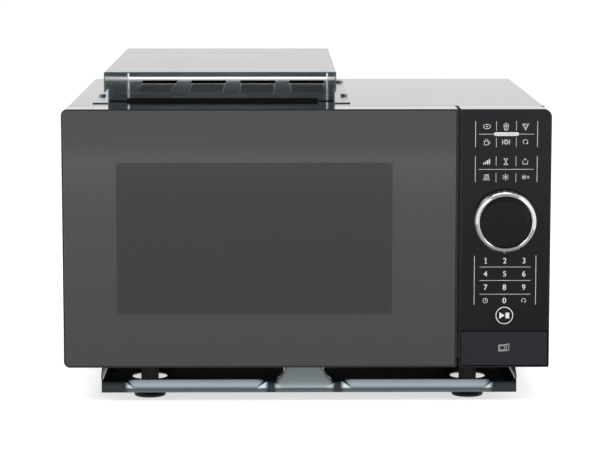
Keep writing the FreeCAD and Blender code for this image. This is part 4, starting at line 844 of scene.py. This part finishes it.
def draw_snowflake(ink, at, size):
    for i in range(3):
        turn = math.radians(60 * i + 90)
        x, z = 0.85 * math.cos(turn), 0.85 * math.sin(turn)
        ink.line(scaled([(-x, -z), (x, z)], at, size))
        for way in (-1, 1):
            tip = (0.55 * way * math.cos(turn), 0.55 * way * math.sin(turn))
            for bend in (-0.8, 0.8):
                out = (math.cos(turn + bend) * 0.28 * way, math.sin(turn + bend) * 0.28 * way)
                ink.line(scaled([tip, (tip[0] + out[0], tip[1] + out[1])], at, size), FINE_LINE)


def draw_quick_thaw(ink, at, size):
    draw_snowflake(ink, (at[0] - 0.3 * size, at[1]), size * 0.75)
    for x in (0.55, 0.85):
        ink.line(scaled([(x, 0.35), (x + 0.25, 0.0), (x, -0.35)], at, size))


def draw_door(ink, at, size):
    """An oven with its door standing open."""
    case = [(-1.0, 0.55), (0.45, 0.62), (0.45, -0.55), (-1.0, -0.62)]
    opening = [(-0.8, 0.38), (0.12, 0.42), (0.12, -0.38), (-0.8, -0.42)]
    door = [(0.45, 0.62), (0.95, 0.80), (0.95, -0.42), (0.45, -0.55)]
    ink.line(scaled(case, at, size), FINE_LINE, closed=True)
    ink.line(scaled(opening, at, size), LINE * 0.6, closed=True)
    ink.line(scaled(door, at, size), FINE_LINE)


def draw_one(ink, at, size):
    ink.line(scaled([(-0.36, 0.62), (0.05, 0.9), (0.05, -1.0)], at, size), 0.8 * MM)
    ink.line(scaled([(-0.34, -1.0), (0.44, -1.0)], at, size), 0.5 * MM)


fascia_low, fascia_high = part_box("panel_fascia")
panel_x = (fascia_low.x + fascia_high.x) / 2
panel_top = fascia_high.z + 1.0 * MM
COLUMNS = [panel_x + dx * MM for dx in (-19.4, -0.4, 18.8)]
GROUP_SIDES = (panel_x - 30.6 * MM, panel_x + 30.7 * MM)


def down(distance):
    """A height on the panel, from its distance below the panel's top in millimetres."""
    return panel_top - distance * MM


def side_rules(ink, upper, lower):
    for x in GROUP_SIDES:
        ink.line([(x, down(upper)), (x, down(lower))])


def cross_rule(ink, height, inset):
    """A rule from one side of the keys to the other, short of the side rules by an inset."""
    first, last = GROUP_SIDES
    ink.line([(first + inset, down(height)), (last - inset, down(height))], FINE_LINE)


def key_group(ink, upper, middle, lower, drawings):
    """Six keys in two rows, with rules between them."""
    side_rules(ink, upper, lower)
    gap = 3.6
    for x in (panel_x - 10.0 * MM, panel_x + 9.7 * MM):
        ink.line([(x, down(upper)), (x, down(middle - gap))], FINE_LINE)
        ink.line([(x, down(middle + gap)), (x, down(lower))], FINE_LINE)
    cross_rule(ink, middle, 3.3 * MM)
    for i, draw in enumerate(drawings):
        row = (upper + middle) / 2 - 1.1 if i < 3 else (middle + lower) / 2 + 1.3
        draw(ink, (COLUMNS[i % 3], down(row)), 3.7 * MM)


def pill(ink, centre, half_width, half_height):
    """A filled bar with round ends."""
    points = []
    for side, first in ((1, -90), (-1, 90)):
        end = (centre[0] + side * (half_width - half_height), centre[1])
        points += [on_circle(end, half_height, math.radians(first + 180 * i / 8)) for i in range(9)]
    ink.area(points)


def key_print():
    ink = Print(fascia_low.y)
    key_group(ink, 11.9, 24.8, 37.7,
              (draw_potato, draw_popcorn, draw_pizza, draw_mug, draw_plate, draw_turn))
    pill(ink, (panel_x - 0.1 * MM, down(24.8)), 12.4 * MM, 1.8 * MM)
    key_group(ink, 46.8, 59.8, 72.7,
              (draw_bars, draw_hourglass, draw_pot, draw_scale, draw_snowflake, draw_quick_thaw))
    side_rules(ink, 146.3, 195.6)
    for height in (157.6, 171.2, 185.0):
        cross_rule(ink, height, 5.2 * MM)
    rows = (151.2, 164.5, 178.0, 191.4)
    digit_height = 5.4 * MM
    draw_one(ink, (COLUMNS[0], down(rows[0])), digit_height / 2)
    for number in range(2, 10):
        spot = (COLUMNS[(number - 1) % 3], down(rows[(number - 1) // 3]))
        ink.digit(str(number), spot, digit_height)
    ink.digit("0", (COLUMNS[1], down(rows[3])), digit_height)
    for draw, column in ((draw_clock, COLUMNS[0]), (draw_turn, COLUMNS[2])):
        draw(ink, (column, down(rows[3])), 3.2 * MM)
    start, start_size = (panel_x - 0.2 * MM, down(206.5)), 8.0 * MM
    ink.arc(start, 8.4 * MM, 0, 360, 0.8 * MM)
    ink.area(scaled([(-0.62, 0.42), (-0.62, -0.42), (0.02, 0.0)], start, start_size))
    ink.area(scaled([(0.14, 0.36), (0.14, -0.36), (0.62, -0.36), (0.62, 0.36)], start, start_size))
    return ink.done("key_print", "cabinet")


def button_print():
    low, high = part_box("open_button")
    ink = Print(low.y)
    draw_door(ink, (panel_x - 0.2 * MM, (low.z + high.z) / 2 + 0.8 * MM), 5.2 * MM)
    return ink.done("door_symbol", "button")


key_print()
button_print()


# ---------------------------------------------------------------- dial ring


RING_SIDES = 144


def bent(first, middle, last, count):
    """Points on a parabola from the first to the last, drawn towards the middle one."""
    points = []
    for i in range(count + 1):
        t = i / count
        weights = (1 - t) ** 2, 2 * t * (1 - t), t * t
        points.append([sum(w * v for w, v in zip(weights, values)) for values in zip(first, middle, last)])
    return points


def ring_profile(outer, face, back):
    """Radius and depth round the ring's section: a dome that slopes outwards, and a bevel at the bore."""
    bore = outer - 6.0 * MM
    shelf, hollow = face + 6.0 * MM, outer - 3.65 * MM
    skirt, crest = (outer, face + 8.5 * MM), (bore + 1.5 * MM, face)
    dome = bent(skirt, (outer - 0.3 * MM, face + 3.2 * MM), crest, 12)
    bevel = bent((bore + 1.2 * MM, face), (bore + 0.3 * MM, face + 0.1 * MM), (bore, face + 1.1 * MM), 4)
    sleeve = [(bore, shelf), (hollow, shelf), (hollow, back)]
    return [(outer - 0.8 * MM, back), (outer, face + 11.0 * MM)] + dome + bevel + sleeve


def turned_ring(bm):
    low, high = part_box("dial_ring")
    centre, outer = ((low.x + high.x) / 2, (low.z + high.z) / 2), (high.x - low.x) / 2
    profile = ring_profile(outer, low.y, high.y)
    sections = []
    for i in range(RING_SIDES):
        section = []
        for radius, y in profile:
            x, z = on_circle(centre, radius, math.tau * i / RING_SIDES)
            section.append(bm.verts.new((x, y, z)))
        sections.append(section)
    for here, after in zip(sections, sections[1:] + sections[:1]):
        for j in range(len(profile)):
            k = (j + 1) % len(profile)
            bm.faces.new((here[j], here[k], after[k], after[j]))


def dial():
    mesh = mesh_from("bright_ring", turned_ring)
    mesh.shade_smooth()
    mesh.set_sharp_from_angle(angle=math.radians(40))
    ring = piece("bright_ring", mesh, "dial", materials["chrome"])
    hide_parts("dial_ring")


dial()


# ---------------------------------------------------------------- springs


def shortening_spring(name, node, body):
    """The node's own coil, copied to ride on the body in the node's place."""
    bpy.context.view_layer.update()
    coil = frame["nodes"][node]
    mesh = coil.data.copy()
    mesh.transform(coil.matrix_world)
    made = piece(name, mesh, body, materials["spring_steel"])
    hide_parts(node)
    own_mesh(made)


shortening_spring("button_coil", "button_spring", "cabinet")
shortening_spring("latch_coil", "latch_spring", "door")


# ---------------------------------------------------------------- pressed tray


# Across the tray, places are measured from its middle or the ramp's; along it, from its lip backwards.
TRAY_LEVEL = 0.020
FOLD_DROP = 0.0062
BEAD_ENDS = (0.176, 0.186)
BEAD_START = 0.0385
BEAD_RISE = 0.009
RAMP_RUN = 0.047
RAMP_FADE = (RAMP_RUN + 0.030, RAMP_RUN + 0.045)
RAMP_HALF_FRONT, RAMP_HALF_BACK = 0.0245, 0.0150
RAMP_NARROWING = 0.050
PAN_FOLD = (0.001, 0.0155)
CHEEK_START, CHEEK_RUN, CHEEK_LIP = 0.001, 0.044, 0.0012
SIDE_BEND = 0.004
LIP_BEND = 0.0022
SHEET = 0.001
TAB_WIDTH, TAB_LENGTH, TAB_PLACES = 0.018, 0.024, (0.086, 0.280)
FOOT_HOLE, FEET_ACROSS, FEET_ALONG = 0.018, 0.162, (0.050, 0.366)
FIXING_HOLE, FIXING_ACROSS, FIXING_MIDDLE, FIXING_ALONG = 0.0025, 0.130, 0.205, 0.110


def clamped(share):
    return min(max(share, 0.0), 1.0)


def smooth(value, low, high):
    """0 at low and 1 at high, easing at both ends."""
    share = clamped((value - low) / (high - low))
    return share * share * (3 - 2 * share)


def blend(first, second, share):
    return first + (second - first) * share


def bead_depth(x):
    """How far the front bead dips at x: soft at its outer end, with flat faces meeting at its inner end."""
    outer = 1 - smooth(abs(x - TRAY_X), *BEAD_ENDS)
    return outer * clamped((abs(x - RAMP_X) - BEAD_START) / BEAD_RISE)


def ramp_share(x, depth):
    """1 on the ramp in the middle, and 0 off it, with drawn sides between."""
    half = blend(RAMP_HALF_FRONT, RAMP_HALF_BACK, smooth(depth, 0.0, RAMP_NARROWING))
    return 1 - smooth(abs(x - RAMP_X), half - 0.002, half + 0.006)


def edge_height(x):
    """The height of the front fold."""
    dip = max(bead_depth(x), 1 - smooth(abs(x - RAMP_X), 0.020, 0.034))
    return TRAY_LEVEL - FOLD_DROP * dip


def tray_height(x, depth):
    """The height of the pressed sheet, at a depth behind its lip."""
    edge = edge_height(x)
    panned = blend(edge, TRAY_LEVEL, smooth(depth, *PAN_FOLD))
    climb = min(depth / RAMP_RUN, 1.0) * (1 - smooth(depth, *RAMP_FADE))
    climbing = blend(edge if depth < RAMP_RUN else TRAY_LEVEL, tray_high.z, climb)
    return blend(panned, climbing, ramp_share(x, depth))


def spaced(low, high, step):
    count = max(1, round((high - low) / step))
    return [low + (high - low) * i / count for i in range(count)]


def bend_points(radius, angles):
    """How far a bend's points lie in from the side and above the flat, at angles in degrees."""
    turns = [math.radians(angle) for angle in angles]
    return [(radius * (1 - math.cos(turn)), radius * (1 - math.sin(turn))) for turn in turns]


def tray_columns():
    """Places across the tray: x, how far up its cheek from 0 to 1, and how high its bend has curled."""
    left, right, bend = tray_low.x + SHEET, tray_high.x - SHEET, SIDE_BEND
    ramp_from, ramp_to, coarse, fine = RAMP_X - 0.050, RAMP_X + 0.050, 0.0030, 0.0011
    stretches = (left + bend, ramp_from, coarse), (ramp_from, ramp_to, fine), (ramp_to, right - bend, coarse)
    middle = [left + bend]
    for low, high, step in stretches:
        middle += [x for x in spaced(low, high, step) if x > middle[-1]]
    middle.append(right - bend)
    rise = [1.0, 0.66, 0.33, 0.0]
    left_side = [(left, share, bend) for share in rise]
    right_side = [(right, share, bend) for share in rise[::-1]]
    curl = bend_points(bend, (22, 45, 68))
    left_curl = [(left + a, 0.0, b) for a, b in curl]
    right_curl = [(right - a, 0.0, b) for a, b in curl[::-1]]
    return left_side + left_curl + [(x, 0.0, 0.0) for x in middle] + right_curl + right_side


def tray_rows():
    """Places along the tray: depth behind the lip, how far down the lip from 0 to 1, and the bend's dip."""
    rows = [(0.0, share, LIP_BEND) for share in (1.0, 0.75, 0.5, 0.25, 0.0)]
    rows += [(depth, 0.0, dip) for depth, dip in bend_points(LIP_BEND, (30, 60))]
    length = tray_high.y - tray_low.y
    fold_end, ramp_end = 0.022, 0.100
    depths = spaced(LIP_BEND, fold_end, 0.0011) + spaced(fold_end, ramp_end, 0.0026)
    depths += spaced(ramp_end, length, 0.012) + [length]
    return rows + [(depth, 0.0, 0.0) for depth in depths]


def cheek_height(depth):
    """How far the side of the tray stands above its deck."""
    return blend(CHEEK_LIP, tray_high.z - TRAY_LEVEL, clamped((depth - CHEEK_START) / CHEEK_RUN))


def pressed_sheet(bm):
    columns, rows = tray_columns(), tray_rows()
    grid = []
    for depth, below, dip in rows:
        line = []
        for x, up, curl in columns:
            height = tray_height(x, depth) - dip
            if depth == 0.0:
                height = blend(height, tray_low.z, below)
            else:
                climb = cheek_height(depth)
                height += min(curl, climb * 0.9) + up * max(climb - curl, 0.0)
            line.append(bm.verts.new((x, tray_low.y + depth, height)))
        grid.append(line)
    for j in range(len(rows) - 1):
        for i in range(len(columns) - 1):
            bm.faces.new((grid[j][i], grid[j][i + 1], grid[j + 1][i + 1], grid[j + 1][i]))


def tray_tabs(bm):
    """Ears at the top of the cheeks, under the base plate."""
    size = Vector((TAB_WIDTH, TAB_LENGTH, SHEET))
    for x in (tray_low.x + TAB_WIDTH / 2, tray_high.x - TAB_WIDTH / 2):
        for middle in TAB_PLACES:
            centre = Vector((x, front_y + middle, tray_high.z - SHEET / 2))
            for vert in bmesh.ops.create_cube(bm, size=1.0)["verts"]:
                vert.co = centre + vert.co * size


def drill(places, radius, height):
    """A mesh of round bars that stand on the floor and cut holes."""
    def build(bm):
        for x, y in places:
            bar = bmesh.ops.create_cone(
                bm, cap_ends=True, segments=48, radius1=radius, radius2=radius, depth=height)
            for vert in bar["verts"]:
                vert.co += Vector((x, y, height / 2))
    return mesh_from("drill", build)


def bored(mesh, cutter):
    """The mesh with the cutter taken away from it."""
    body, tool = loose_object("bored", mesh), loose_object("tool", cutter)
    cut = body.modifiers.new("cut", "BOOLEAN")
    cut.operation, cut.solver, cut.object = "DIFFERENCE", "EXACT", tool
    result = worked_mesh(body)
    bpy.data.objects.remove(body)
    bpy.data.objects.remove(tool)
    return result


def thickened(mesh, thickness):
    body = loose_object("thickened", mesh)
    skin = body.modifiers.new("skin", "SOLIDIFY")
    skin.thickness, skin.offset, skin.use_even_offset = thickness, -1.0, False
    result = worked_mesh(body)
    bpy.data.objects.remove(body)
    return result


def pressed_tray():
    sheet = mesh_from("pressed_sheet", pressed_sheet)
    if sum(face.normal.z for face in sheet.polygons) < 0:
        sheet.flip_normals()
    sheet = thickened(sheet, SHEET)
    above_deck = 0.030
    feet = [(TRAY_X + side * FEET_ACROSS, front_y + along) for side in (-1, 1) for along in FEET_ALONG]
    sheet = bored(sheet, drill(feet, FOOT_HOLE, above_deck))
    fixings = [(TRAY_X + side * FIXING_ACROSS, front_y + FIXING_MIDDLE + end * FIXING_ALONG)
               for side in (-1, 1) for end in (-1, 1)]
    sheet = bored(sheet, drill(fixings, FIXING_HOLE, above_deck))
    bm = bmesh.new()
    bm.from_mesh(sheet)
    tray_tabs(bm)
    bm.to_mesh(sheet)
    bm.free()
    sheet.shade_smooth()
    sheet.set_sharp_from_angle(angle=math.radians(50))
    tray = piece("pressed_tray", sheet, "cabinet", materials["tray_steel"])
    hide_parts("mounting_tray")


pressed_tray()


# ---------------------------------------------------------------- studio


def camera():
    """A long lens above the left of the middle, looking slightly down at the front."""
    distance, looking_down, turned_right = 2.4311, 7.69, 0.529
    lens = bpy.data.cameras.new("camera")
    lens.lens, lens.sensor_width = 148.23, 36.0
    lens.clip_start, lens.clip_end = 0.05, 60.0
    made = loose_object("camera", lens)
    made.location = (-0.029, front_y - distance, 0.5031)
    made.rotation_mode = "XYZ"
    made.rotation_euler = (math.radians(90 - looking_down), 0.0, math.radians(-turned_right))
    bpy.context.scene.camera = made


def lamp(name, place, target, width, height, power, mirrored=True):
    light = bpy.data.lights.new(name, "AREA")
    light.shape, light.size, light.size_y, light.energy = "RECTANGLE", width, height, power
    made = loose_object(name, light)
    made.location = place
    made.rotation_mode = "QUATERNION"
    made.rotation_quaternion = (Vector(target) - Vector(place)).to_track_quat("-Z", "Y")
    made.visible_glossy = mirrored


def light_path(start):
    """Which rays are the camera's, and which are a polished or clear surface's."""
    path = start.node("ShaderNodeLightPath").socket.node
    camera_ray, glossy, through = (Wire(start.tree, path.outputs[name])
                                   for name in ("Is Camera Ray", "Is Glossy Ray", "Is Transmission Ray"))
    return camera_ray, glossy.larger(through)


def world():
    """White behind the object, and a darker room in front of it for polished surfaces to show."""
    made = bpy.data.worlds.new("studio")
    start = emptied(made)
    x, y, z = start.node("ShaderNodeTexCoord", output=0).axes()
    camera_ray, polished = light_path(start)
    front = z.ramp(0.45, 0.95).tint(grey(0.16), grey(0.50))
    room = y.ramp(-0.30, 0.30).larger(abs(x).ramp(0.50, 0.66)).tint(front, grey(1.0))
    colour = camera_ray.tint(polished.tint(grey(0.50), room), grey(1.0))
    background = start.node("ShaderNodeBackground", inputs={"Color": colour, "Strength": 1.0})
    start.node("ShaderNodeOutputWorld", inputs={"Surface": background})
    bpy.context.scene.world = made


FLOOR_GLARE = 0.62


def floor():
    """A pale floor, white to the eye beyond the object's shadow and grey in front for polish to show."""
    mesh = mesh_from("floor", lambda bm: bmesh.ops.create_grid(bm, x_segments=1, y_segments=1, size=14.0))
    made = loose_object("floor", mesh)
    made.location = (0.0, 0.0, -0.0002)
    material = bpy.data.materials.new("floor_paper")
    start = emptied(material)
    x, y, _ = start.node("ShaderNodeTexCoord", output=3).axes()
    camera_ray, polished = light_path(start)
    shown = y.ramp(-0.3, 0.6).larger(abs(x).ramp(0.60, 0.80)).tint(grey(0.40), grey(1.0))
    seen_colour = camera_ray.tint(shown, grey(1.0))
    paper = start.node("ShaderNodeBsdfDiffuse", inputs={"Color": grey(0.80)})
    bright = start.node("ShaderNodeEmission", inputs={"Color": seen_colour, "Strength": 1.0})
    glare = start.node("ShaderNodeEmission", inputs={"Color": grey(1.0), "Strength": FLOOR_GLARE})
    lit = start.node("ShaderNodeAddShader", inputs={0: paper, 1: glare})
    seen = start.node("ShaderNodeMixShader", inputs={0: camera_ray, 1: paper, 2: lit})
    surface = start.node("ShaderNodeMixShader", inputs={0: polished * 0.9, 1: seen, 2: bright})
    start.node("ShaderNodeOutputMaterial", inputs={"Surface": surface})
    mesh.materials.append(material)


camera()
world()
floor()
lamp("key", (-1.5, -1.8, 1.9), (0.0, 0.0, 0.15), 1.0, 1.0, 24.0)
lamp("fill", (1.8, -1.3, 1.5), (0.0, 0.0, 0.15), 0.9, 0.9, 12.0)
lamp("overhead", (0.0, 0.5, 2.4), (0.0, 0.0, 0.2), 1.8, 1.4, 16.0)
lamp("low_front", (0.0, -2.7, 0.34), (0.0, 0.0, 0.05), 2.6, 0.42, 30.0, mirrored=False)

bpy.context.scene.view_settings.view_transform = "Standard"
